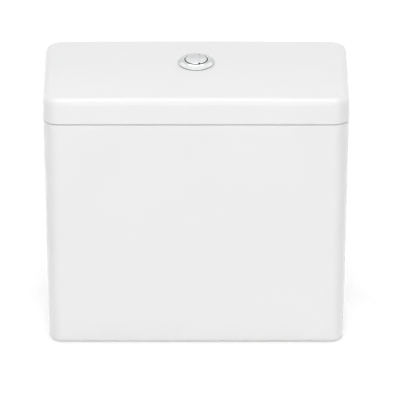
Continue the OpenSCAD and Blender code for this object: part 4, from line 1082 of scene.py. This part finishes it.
def bolts_shape():
    """The pan bolts: a thread, a thinner threaded shank and a hexagon head."""
    low, high = node_box("fixing_bolts")
    foot, top = low[2], high[2]
    thread_r, shank_r, head_r, pitch, depth, shank_depth = 4, 3.5, 7.5, 1.25, 0.5, 0.4
    shank_foot, shank_thread_top, head_foot, run_out, cone_below = 16, 48, 57.6, 0.5, 1
    corners = [(0, foot, 0), (thread_r, foot, 0.7), (thread_r, shank_foot, 0.2), (shank_r, shank_foot, 0.1),
               (shank_r, head_foot, 0.1), (head_r, head_foot, 0), (head_r, top, 0), (0, top, 0)]
    outline = refined(rounded(corners), thread_r, pitch / THREAD_STEPS)
    outline = refined(refined(outline, shank_r, pitch / THREAD_STEPS), head_r, HEX_STEP)
    rules = in_turn(threaded(thread_r, pitch, depth, foot + run_out, shank_foot + run_out),
                    threaded(shank_r, pitch, shank_depth, shank_foot - run_out, shank_thread_top),
                    hexagonal(head_r, head_foot - cone_below, top))
    return joined(*[turned(outline, bolt, 48, rules) for bolt in BOLTS])


def cone_washers_shape():
    """Soft washers whose nose reaches into the bolt holes."""
    nose_r, root_r, rim_r, top_r = 5.6, 6.8, 13, 12
    foot, root_z, rim_z, top = 46, 52, 52.05, 55.95
    corners = [(BOLT_BORE, foot, 0.3), (nose_r, foot, 0.6), (root_r, root_z, 0.2), (rim_r, rim_z, 0.4),
               (top_r, top, 0.9), (BOLT_BORE, top, 0.4)]
    return joined(*[turned(rounded(corners), bolt) for bolt in BOLTS])


def wing_nuts_shape():
    """Wing nuts: a bored cone with a web and a round tip on either side."""
    foot_r, top_r, foot, top = 6, 8, 17, 26
    web_start, web_end, web_foot, web_top, web_half_t = 5, 13, 19, 25, 1.3
    tip_at, tip_r, tip_half_t = 12, 4.8, 1.5
    corners = [(BOLT_BORE, foot, 0.3), (foot_r, foot, 0.5), (top_r, top, 1.0), (BOLT_BORE, top, 0.5)]
    web = plate(box_plan(web_start, web_end, web_foot, web_top, edge=0.3), -web_half_t, web_half_t, edge=0.5)
    tip = plate(circle_plan(tip_r, 48) + [tip_at, middle("wing_nuts")[2]], -tip_half_t, tip_half_t, edge=0.7)
    shapes = []
    for bolt in BOLTS:
        shapes.append(turned(rounded(corners), bolt))
        for way in ((1, 0, 0), (-1, 0, 0)):
            shapes.append(placed(joined(web, tip), at_height(bolt, 0), way, (0, 0, 1)))
    return joined(*shapes)


def plug_shape():
    """The blanking plug: a threaded stem, a flange and a low domed head."""
    thread_r, flange_r, dome_r, lead = 10.28, 17, 14, 1
    thread_foot, thread_top, flange_foot, flange_top = 25.5, 54.5, 55, 57.5
    low, high = node_box("blanking_plug")
    foot, top = low[2], high[2]
    corners = [(0, foot, 0), (thread_r - lead, foot, 0.3), (thread_r, foot + lead, 0.3),
               (thread_r, flange_foot, 0.1), (flange_r, flange_foot, 0.5), (flange_r, flange_top, 0.8),
               (dome_r, top, 1.8), (0, top, 0)]
    return screw(corners, SPARE_INLET, thread_r, TAIL_PITCH, TAIL_DEPTH, thread_foot, thread_top)


# Finishes

NOISE_RANGE = (0.3, 0.7)
NOISE_ROUGHNESS = 0.55
GLAZE = [(0.855, 0.856, 0.857), (0.872, 0.872, 0.870)]
GLAZE_IOR = 1.52
BISCUIT = (0.70, 0.66, 0.60)
BISCUIT_ROUGHNESS = 0.8
CHROME = [(0.59, 0.595, 0.60), (0.63, 0.635, 0.64)]
# Near black, painted into the chrome as shade in the buttons' gap and notches
GAP_SHADE_COLOUR = (0.02, 0.02, 0.021)

# Where a look fades into another: heights, or distances from the valve's axis or a notch, in metres
BISCUIT_HEIGHT = np.array([0.3, 1.2]) * MM
# The gap and notch ranges below bound where that painted shade lies
GAP_SHADE_FROM = np.array([11.6, 11.8]) * MM
GAP_SHADE_TO = np.array([14.65, 14.7]) * MM
GAP_SHADE_BELOW = (BUTTON_EDGE - np.array([0.45, 0.05])) * MM
NOTCH_SHADE_FADE = (NOTCH_AT_SPLIT_R + np.array([0.2, 0.45])) * MM
NOTCH_SHADE_WITHIN = 14.75 * MM
HAZE_EDGE = np.array([12.8, 13.4]) * MM
BUTTON_HAZE = 0.12


def feed(tree, socket, value):
    """Links an input to another node's output, or sets it to a constant."""
    if isinstance(value, bpy.types.NodeSocket):
        tree.links.new(value, socket)
    else:
        socket.default_value = value


def add_node(tree, kind, settings=None, **inputs):
    """Adds a shader node, sets its own settings, then its inputs by name with spaces written as
    underscores."""
    node = tree.nodes.new(kind)
    for key, value in (settings or {}).items():
        setattr(node, key, value)
    for key, value in inputs.items():
        feed(tree, node.inputs[key.replace("_", " ")], value)
    return node


def in_order(tree, kind, values, settings=None):
    """Adds a shader node and feeds its first inputs in their order."""
    node = add_node(tree, kind, settings)
    for socket, value in zip(node.inputs, values):
        feed(tree, socket, value)
    return node


def maths(tree, operation, *values):
    """The result of an operation on one or two numbers."""
    return in_order(tree, "ShaderNodeMath", values, {"operation": operation}).outputs[0]


def vector_maths(tree, operation, *values):
    """The result of an operation on one or two vectors: a number for a length or distance, else a vector."""
    node = in_order(tree, "ShaderNodeVectorMath", values, {"operation": operation})
    return node.outputs["Value" if operation in ("LENGTH", "DISTANCE") else "Vector"]


def faded(tree, value, ends, first=0.0, last=1.0):
    """A number that goes evenly from first to last while a value goes from one end to the other."""
    spread = add_node(tree, "ShaderNodeMapRange", Value=value, From_Min=ends[0], From_Max=ends[1],
                      To_Min=first, To_Max=last)
    return spread.outputs["Result"]


def between(tree, share, first, last):
    """A colour between two, each a constant or an output, by a share from 0 to 1."""
    mix = add_node(tree, "ShaderNodeMix", {"data_type": "RGBA"}, Factor=share)
    sockets = [socket for socket in mix.inputs if socket.type == "RGBA"]
    for socket, colour in zip(sockets, (first, last)):
        feed(tree, socket, colour if isinstance(colour, bpy.types.NodeSocket) else (*colour, 1))
    return next(socket for socket in mix.outputs if socket.type == "RGBA")


def cloudy(tree, place, scale, low=0.0, high=1.0, detail=3.0):
    """A smooth random value between low and high, in patches about 1 / scale metres across."""
    noise = add_node(tree, "ShaderNodeTexNoise", Vector=place, Scale=scale, Detail=detail,
                     Roughness=NOISE_ROUGHNESS)
    return faded(tree, noise.outputs["Fac"], NOISE_RANGE, low, high)


def relief(tree, surface, height, distance):
    """Raises the surface by a height value times a distance in metres."""
    bump = add_node(tree, "ShaderNodeBump", Height=height, Distance=distance, Strength=1.0)
    tree.links.new(bump.outputs["Normal"], surface.inputs["Normal"])


def new_finish(name):
    """An empty material with one Principled surface, and its Object coordinates."""
    material = bpy.data.materials.new(name)
    material.use_nodes = True
    tree = material.node_tree
    surface = tree.nodes["Principled BSDF"]
    place = add_node(tree, "ShaderNodeTexCoord").outputs["Object"]
    return material, tree, surface, place


def clouded(name, colours, patches, gloss, glints, grain_scale=None, grain_height=0.0, metallic=0.0):
    """A finish that goes between two colours, so many patches to the metre, and between two values of
    roughness, so many glints to the metre. A grain, where it has one, raises it by up to a height."""
    material, tree, surface, place = new_finish(name)
    feed(tree, surface.inputs["Base Color"], between(tree, cloudy(tree, place, patches), *colours))
    feed(tree, surface.inputs["Roughness"], cloudy(tree, place, glints, *gloss))
    surface.inputs["Metallic"].default_value = metallic
    if grain_scale:
        relief(tree, surface, cloudy(tree, place, grain_scale), grain_height)
    return material


def glazed_china():
    """White vitreous china: faint clouding of the white, a wavy glossy glaze, and a bare biscuit foot rim."""
    material, tree, surface, place = new_finish("glazed_china")
    height = add_node(tree, "ShaderNodeSeparateXYZ", Vector=place).outputs["Z"]
    bare = faded(tree, height, BISCUIT_HEIGHT, 1, 0)
    white = between(tree, cloudy(tree, place, scale=9), *GLAZE)
    feed(tree, surface.inputs["Base Color"], between(tree, bare, white, BISCUIT))
    gloss = cloudy(tree, place, scale=30, low=0.05, high=0.085)
    rough = add_node(tree, "ShaderNodeMix", {"data_type": "FLOAT"}, Factor=bare, A=gloss, B=BISCUIT_ROUGHNESS)
    feed(tree, surface.inputs["Roughness"], rough.outputs["Result"])
    relief(tree, surface, cloudy(tree, place, scale=45, detail=1), distance=0.03 * MM)
    surface.inputs["IOR"].default_value = GLAZE_IOR
    return material


def bright_chrome():
    """Polished chrome plate, a little hazy on the buttons' tops, with painted shade: its colour goes near
    black down in the gap between buttons and bezel, nearer the axis than the bore and lower than the buttons'
    edge, and in the notches, near an end of the split line."""
    material, tree, surface, place = new_finish("bright_chrome")
    height = add_node(tree, "ShaderNodeSeparateXYZ", Vector=place).outputs["Z"]
    flat = vector_maths(tree, "MULTIPLY", place, (1, 1, 0))
    from_axis = vector_maths(tree, "SUBTRACT", flat, (VALVE[0] * MM, VALVE[1] * MM, 0))
    off_axis = vector_maths(tree, "LENGTH", from_axis)
    # Painted shade: how far down the gap between buttons and bezel the chrome is darkened
    gap_shade = maths(tree, "MULTIPLY", faded(tree, off_axis, GAP_SHADE_TO, 1, 0), faded(tree, off_axis, GAP_SHADE_FROM))
    gap_shade = maths(tree, "MULTIPLY", gap_shade, faded(tree, height, GAP_SHADE_BELOW, 1, 0))

    sides = add_node(tree, "ShaderNodeSeparateXYZ", Vector=from_axis).outputs
    one_end = add_node(tree, "ShaderNodeCombineXYZ", X=sides["X"], Y=maths(tree, "ABSOLUTE", sides["Y"]))
    split_end = (SPLIT_X * MM, SPLIT_END_Y * MM, 0)
    to_notch = vector_maths(tree, "DISTANCE", one_end.outputs["Vector"], split_end)
    on_button = maths(tree, "LESS_THAN", off_axis, NOTCH_SHADE_WITHIN)
    # Painted shade: how near an end of the split line the chrome is darkened
    notch_shade = maths(tree, "MULTIPLY", faded(tree, to_notch, NOTCH_SHADE_FADE, 1, 0), on_button)

    plated = between(tree, cloudy(tree, place, scale=120), *CHROME)
    # The chrome's colour is darkened to near black wherever the painted gap and notch shade lies
    painted_shade = maths(tree, "MAXIMUM", gap_shade, notch_shade)
    feed(tree, surface.inputs["Base Color"], between(tree, painted_shade, plated, GAP_SHADE_COLOUR))
    haze = faded(tree, off_axis, HAZE_EDGE, BUTTON_HAZE, 0)
    gloss = cloudy(tree, place, scale=400, low=0.05, high=0.10)
    feed(tree, surface.inputs["Roughness"], maths(tree, "ADD", gloss, haze))
    surface.inputs["Metallic"].default_value = 1.0
    return material


def moulded_plastic(name, dark, light, gloss):
    """Injection-moulded plastic: cloudy colour, uneven gloss and a very fine spark-eroded grain."""
    return clouded(name, [dark, light], patches=60, gloss=gloss, glints=250,
                   grain_scale=2500, grain_height=0.02 * MM)


def black_rubber():
    """Matt black rubber with a fine bloom."""
    colours = [(0.012, 0.012, 0.013), (0.03, 0.03, 0.031)]
    return clouded("black_rubber", colours, patches=300, gloss=(0.55, 0.75), glints=500,
                   grain_scale=3000, grain_height=0.03 * MM)


def black_foam():
    """Open-celled sponge: round cells sunk into a dark matt surface, with painted shade that is darkest
    where each cell sinks deepest.
    """
    material, tree, surface, place = new_finish("black_foam")
    colours = [(0.008, 0.008, 0.009), (0.05, 0.05, 0.052)]
    cells = add_node(tree, "ShaderNodeTexVoronoi", Vector=place, Scale=900.0)
    depth = faded(tree, cells.outputs["Distance"], (0.1, 0.6))
    # Painted shade: the colour darkens where the cells sink
    feed(tree, surface.inputs["Base Color"], between(tree, depth, *colours))
    relief(tree, surface, depth, distance=0.4 * MM)
    surface.inputs["Roughness"].default_value = 0.9
    return material


def red_silicone():
    """Soft silicone with a satin skin."""
    colours = [(0.42, 0.075, 0.045), (0.50, 0.10, 0.06)]
    return clouded("red_silicone", colours, patches=200, gloss=(0.35, 0.5), glints=600)


def spring_steel():
    """Drawn stainless wire and pins with a fine haze."""
    colours = [(0.50, 0.50, 0.51), (0.62, 0.62, 0.63)]
    return clouded("spring_steel", colours, patches=900, gloss=(0.2, 0.38), glints=1500, metallic=1.0)


def turned_brass():
    """Machined brass with slight tarnish in patches."""
    colours = [(0.52, 0.37, 0.15), (0.68, 0.51, 0.24)]
    return clouded("brass", colours, patches=150, gloss=(0.22, 0.42), glints=400, metallic=1.0)


FINISHES = {
    "glazed_china": glazed_china(),
    "bright_chrome": bright_chrome(),
    "white_plastic": moulded_plastic("white_plastic", (0.70, 0.705, 0.69), (0.76, 0.76, 0.745), (0.34, 0.46)),
    "grey_plastic": moulded_plastic("grey_plastic", (0.29, 0.31, 0.33), (0.34, 0.36, 0.38), (0.36, 0.48)),
    "blue_plastic": moulded_plastic("blue_plastic", (0.022, 0.10, 0.24), (0.032, 0.13, 0.29), (0.30, 0.42)),
    "black_rubber": black_rubber(),
    "black_foam": black_foam(),
    "red_silicone": red_silicone(),
    "spring_steel": spring_steel(),
    "brass": turned_brass(),
}


def dress_solids():
    """Gives every solid the finish of its material slot in the record."""
    for node, slot in SLOT_OF.items():
        solid = frame["nodes"][node]
        solid.data.materials.clear()
        solid.data.materials.append(FINISHES[slot])


# Studio

CAMERA_PITCH = 28.45
CAMERA_DISTANCE = 5.94
CAMERA_FOCAL_PX = 4699
IMAGE_PX = 400
SENSOR_WIDTH = 36
FAR_CLIP = 100
AIM = Vector((0.0048, 0.0, 0.1622))
WHITE = (1, 1, 1, 1)
ROOM_LIGHT = 0.02
FLOOR_HALF = 15.0
FLOOR_GREY = (0.92, 0.92, 0.92, 1)
FLOOR_LIFT = 0.225
FLOOR_FADE = (0.25, 5.0)
TOP_RADIANCE = 2.5
FRONT_RADIANCE = 3.58
RIM_RADIANCE = 5.0
RIM_AT = 2.1
BACK_RADIANCE = 2.4
CARD_RADIANCE = 2.3

# Dim reflectors on the floor: how far to the side and to the back each lies
REFLECTOR_SIZE = (0.14, 0.5)
REFLECTOR_HEIGHT = 0.003
REFLECTOR_RADIANCE = 0.26
REFLECTORS = [(0.26, 0.17), (0.40, 0.21), (0.54, 0.25), (0.68, 0.29)]

# Bands of light on the ceiling: near edge, far edge and radiance
CEILING_HEIGHT = 2.2
CEILING_WIDTH = 2.6
CEILING_BANDS = [(0.4, 2.55, 0.38), (2.55, 2.85, 0.34), (2.85, 3.2, 0.29), (3.2, 3.63, 0.20),
                 (3.63, 4.15, 0.09)]


def add_camera():
    """A long lens in front of the cistern, looking down on it."""
    data = bpy.data.cameras.new("photo_camera")
    data.sensor_width = SENSOR_WIDTH
    data.lens = CAMERA_FOCAL_PX / IMAGE_PX * data.sensor_width
    data.clip_end = FAR_CLIP
    camera = bpy.data.objects.new("photo_camera", data)
    bpy.context.scene.collection.objects.link(camera)
    pitch = np.radians(CAMERA_PITCH)
    back = Vector((0, -np.cos(pitch), np.sin(pitch)))
    camera.location = AIM + CAMERA_DISTANCE * back
    camera.rotation_euler = (-back).to_track_quat("-Z", "Y").to_euler()
    bpy.context.scene.camera = camera


def add_softbox(name, place, target, size, radiance, glossy=True, matt=True):
    """A rectangular lamp that looks at a target, with its power worked out from the radiance of its face.
    One that isn't glossy lights matt surfaces only, as a wide diffuse fill does, and one that isn't matt is
    only seen in reflections, as a dim card is."""
    data = bpy.data.lights.new(name, "AREA")
    data.shape = "RECTANGLE"
    data.size, data.size_y = size
    data.energy = radiance * np.pi * size[0] * size[1]
    lamp = bpy.data.objects.new(name, data)
    bpy.context.scene.collection.objects.link(lamp)
    lamp.location = place
    lamp.rotation_euler = (Vector(target) - Vector(place)).to_track_quat("-Z", "Y").to_euler()
    lamp.visible_camera = False
    lamp.visible_glossy = glossy
    lamp.visible_diffuse = matt


def add_world():
    """A white room: what the camera and gloss see is plain white, and what lights matt surfaces is dimmer."""
    world = bpy.data.worlds.new("white_room")
    bpy.context.scene.world = world
    world.use_nodes = True
    tree = world.node_tree
    seen = add_node(tree, "ShaderNodeLightPath").outputs
    viewed = maths(tree, "MAXIMUM", seen["Is Camera Ray"], seen["Is Glossy Ray"])
    viewed = maths(tree, "MAXIMUM", viewed, seen["Is Transmission Ray"])
    background = tree.nodes["Background"]
    background.inputs["Color"].default_value = WHITE
    feed(tree, background.inputs["Strength"], faded(tree, viewed, (0, 1), ROOM_LIGHT, 1))


def floor_finish():
    """Pale matt from above and clear from below. What is added to its light for the camera and gloss grows
    with the distance, where the lamps no longer reach it."""
    material = bpy.data.materials.new("studio_floor")
    material.use_nodes = True
    tree = material.node_tree
    tree.nodes.remove(tree.nodes["Principled BSDF"])
    seen = add_node(tree, "ShaderNodeLightPath").outputs
    viewed = maths(tree, "MAXIMUM", seen["Is Camera Ray"], seen["Is Glossy Ray"])
    away = vector_maths(tree, "LENGTH", add_node(tree, "ShaderNodeTexCoord").outputs["Object"])
    lift = maths(tree, "MULTIPLY", viewed, faded(tree, away, FLOOR_FADE, FLOOR_LIFT, 1))
    matt = add_node(tree, "ShaderNodeBsdfDiffuse", Color=FLOOR_GREY).outputs[0]
    glow = add_node(tree, "ShaderNodeEmission", Strength=lift).outputs[0]
    upper = in_order(tree, "ShaderNodeAddShader", (matt, glow)).outputs[0]
    clear = add_node(tree, "ShaderNodeBsdfTransparent").outputs[0]
    from_below = add_node(tree, "ShaderNodeNewGeometry").outputs["Backfacing"]
    one_sided = in_order(tree, "ShaderNodeMixShader", (from_below, upper, clear)).outputs[0]
    feed(tree, tree.nodes["Material Output"].inputs["Surface"], one_sided)
    return material


def add_floor():
    """A wide pale floor that keeps the cistern's shadow and looks white to the camera elsewhere."""
    half = FLOOR_HALF
    corners = [(-half, -half, 0), (half, -half, 0), (half, half, 0), (-half, half, 0)]
    mesh = bpy.data.meshes.new("studio_floor")
    mesh.from_pydata(corners, [], [(0, 1, 2, 3)])
    mesh.materials.append(floor_finish())
    floor = bpy.data.objects.new("studio_floor", mesh)
    bpy.context.scene.collection.objects.link(floor)


def add_lamps():
    """Softboxes above, in front, at both sides and behind, a bright card low in front, dim reflectors on the
    floor beside the cistern, and bands of light high behind it that the lid's top mirrors."""
    add_softbox("overhead_softbox", place=(0, -0.55, 2.0), target=(0, -0.55, 0), size=(2.0, 1.8),
                radiance=TOP_RADIANCE)
    add_softbox("front_softbox", place=(0, -3.2, 1.15), target=(0, 0, 0.3), size=(2.0, 1.9),
                radiance=FRONT_RADIANCE, glossy=False)
    add_softbox("front_card", place=(0, -3.1, 0.27), target=(0, 0, 0.3), size=(2.2, 0.5),
                radiance=CARD_RADIANCE)
    for name, x in (("left_rim_softbox", -RIM_AT), ("right_rim_softbox", RIM_AT)):
        add_softbox(name, place=(x, 1.5, 0.9), target=(0, 0, 0.2), size=(1.2, 1.6), radiance=RIM_RADIANCE,
                    glossy=False)
    add_softbox("back_softbox", place=(0, 3.2, 0.7), target=(0, 0, 0.3), size=(2.0, 1.2),
                radiance=BACK_RADIANCE, glossy=False)
    for side in (LEFT, RIGHT):
        for across, y in REFLECTORS:
            x = side * across
            add_softbox(f"floor_reflector_{x}", (x, y, REFLECTOR_HEIGHT), (x, y, 1), REFLECTOR_SIZE,
                        REFLECTOR_RADIANCE)
    for near, far, radiance in CEILING_BANDS:
        y = (near + far) / 2
        add_softbox(f"ceiling_band_{near}", (0, y, CEILING_HEIGHT), (0, y, 0), (CEILING_WIDTH, far - near),
                    radiance, matt=False)


# Building

PIECES = {
    "tank": tank_shape(),
    "lid": lid_shape(),
    "lid_buffers": buffers_shape(),
    "button_bezel": bezel_shape(),
    "bezel_gasket": bezel_gasket_shape(),
    "bezel_washer": washer_shape("bezel_washer", bore=17.7, centres=[VALVE]),
    "bezel_nut": bezel_nut_shape(),
    "button_guide": guide_shape(),
    "full_flush_button": button_shape("full_flush_button", LEFT, FULL_STEM_X, FULL_STEM_R),
    "half_flush_button": button_shape("half_flush_button", RIGHT, HALF_STEM_X, HALF_STEM_R),
    "full_push_rod": push_rod_shape("full_push_rod", FULL_STEM_X),
    "half_push_rod": push_rod_shape("half_push_rod", HALF_STEM_X),
    "full_button_spring": spring_shape("full_button_spring", FULL_STEM_X, coil_r=4.4, wire_r=0.4),
    "half_button_spring": spring_shape("half_button_spring", HALF_STEM_X, coil_r=3.1, wire_r=0.35),

    "valve_base": valve_base_shape(),
    "base_washer": washer_shape("base_washer", bore=30.0, centres=[VALVE], edge=0.6),
    "base_nut": base_nut_shape(),
    "coupling_gasket": gasket_shape(),
    "valve_tower": tower_shape(),
    "tower_head": tower_head_shape(),
    "lever_pins": lever_pins_shape(),
    "full_flush_lever": rocker_shape(FULL_PIVOT_X, RIGHT),
    "half_flush_lever": rocker_shape(HALF_PIVOT_X, LEFT),
    "flush_canister": canister_shape(),
    "canister_seal": washer_shape("canister_seal", bore=22.5, centres=[VALVE], edge=0.9),
    "full_flush_float": ring_float_shape("full_flush_float", bore=24.6),
    "full_pull_rod": pull_rod_shape("full_pull_rod", FULL_LIFT_X, FULL_ARM_FOOT),
    "overflow_tube": overflow_shape(),
    "overflow_seal": washer_shape("overflow_seal", bore=14.1, centres=[VALVE], edge=0.9),
    "half_flush_float": ring_float_shape("half_flush_float", bore=14.1),
    "half_pull_rod": pull_rod_shape("half_pull_rod", HALF_LIFT_X, HALF_ARM_FOOT),

    "inlet_shank": shank_shape(),
    "inlet_washer": washer_shape("inlet_washer", bore=10.1, centres=[INLET], edge=0.6),
    "inlet_nut": flanged_nut_shape("inlet_nut", bore=10.0, corner_r=17, rim_h=3, centres=[INLET]),
    "inlet_filter": filter_shape(),
    "riser_tube": washer_shape("riser_tube", bore=7.5, centres=[INLET]),
    "height_tube": washer_shape("height_tube", bore=5.2, centres=[INLET]),
    "lock_collar": lock_collar_shape(),
    "fill_valve_body": valve_body_shape(),
    "fill_diaphragm": diaphragm_shape(),
    "fill_valve_cap": valve_cap_shape(),
    "fill_lever": fill_lever_shape(),
    "fill_lever_pin": fill_pin_shape(),
    "float_cup": float_cup_shape(),
    "float_link": link_shape(),
    "level_nut": level_nut_shape(),

    "fixing_bolts": bolts_shape(),
    "bolt_cone_washers": cone_washers_shape(),
    "bolt_plate_washers": washer_shape("bolt_plate_washers", bore=BOLT_BORE, centres=BOLTS, edge=0.3),
    "bolt_lower_washers": washer_shape("bolt_lower_washers", bore=BOLT_BORE, centres=BOLTS, edge=0.6),
    "bolt_nuts": flanged_nut_shape("bolt_nuts", bore=BOLT_BORE, corner_r=7.5, rim_h=1.6, centres=BOLTS),
    "wing_nuts": wing_nuts_shape(),
    "blanking_plug": plug_shape(),
    "plug_washer": washer_shape("plug_washer", bore=10.48, centres=[SPARE_INLET], edge=0.6),
    "plug_nut": flanged_nut_shape("plug_nut", bore=10.38, corner_r=17, rim_h=3, centres=[SPARE_INLET]),
}

dress_solids()
pieces = {node: add_piece(node, shape) for node, shape in PIECES.items()}

full_spring = pieces["full_button_spring"]
half_spring = pieces["half_button_spring"]
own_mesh(full_spring)
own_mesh(half_spring)

bpy.context.scene.view_settings.view_transform = "Standard"
add_camera()
add_world()
add_floor()
add_lamps()
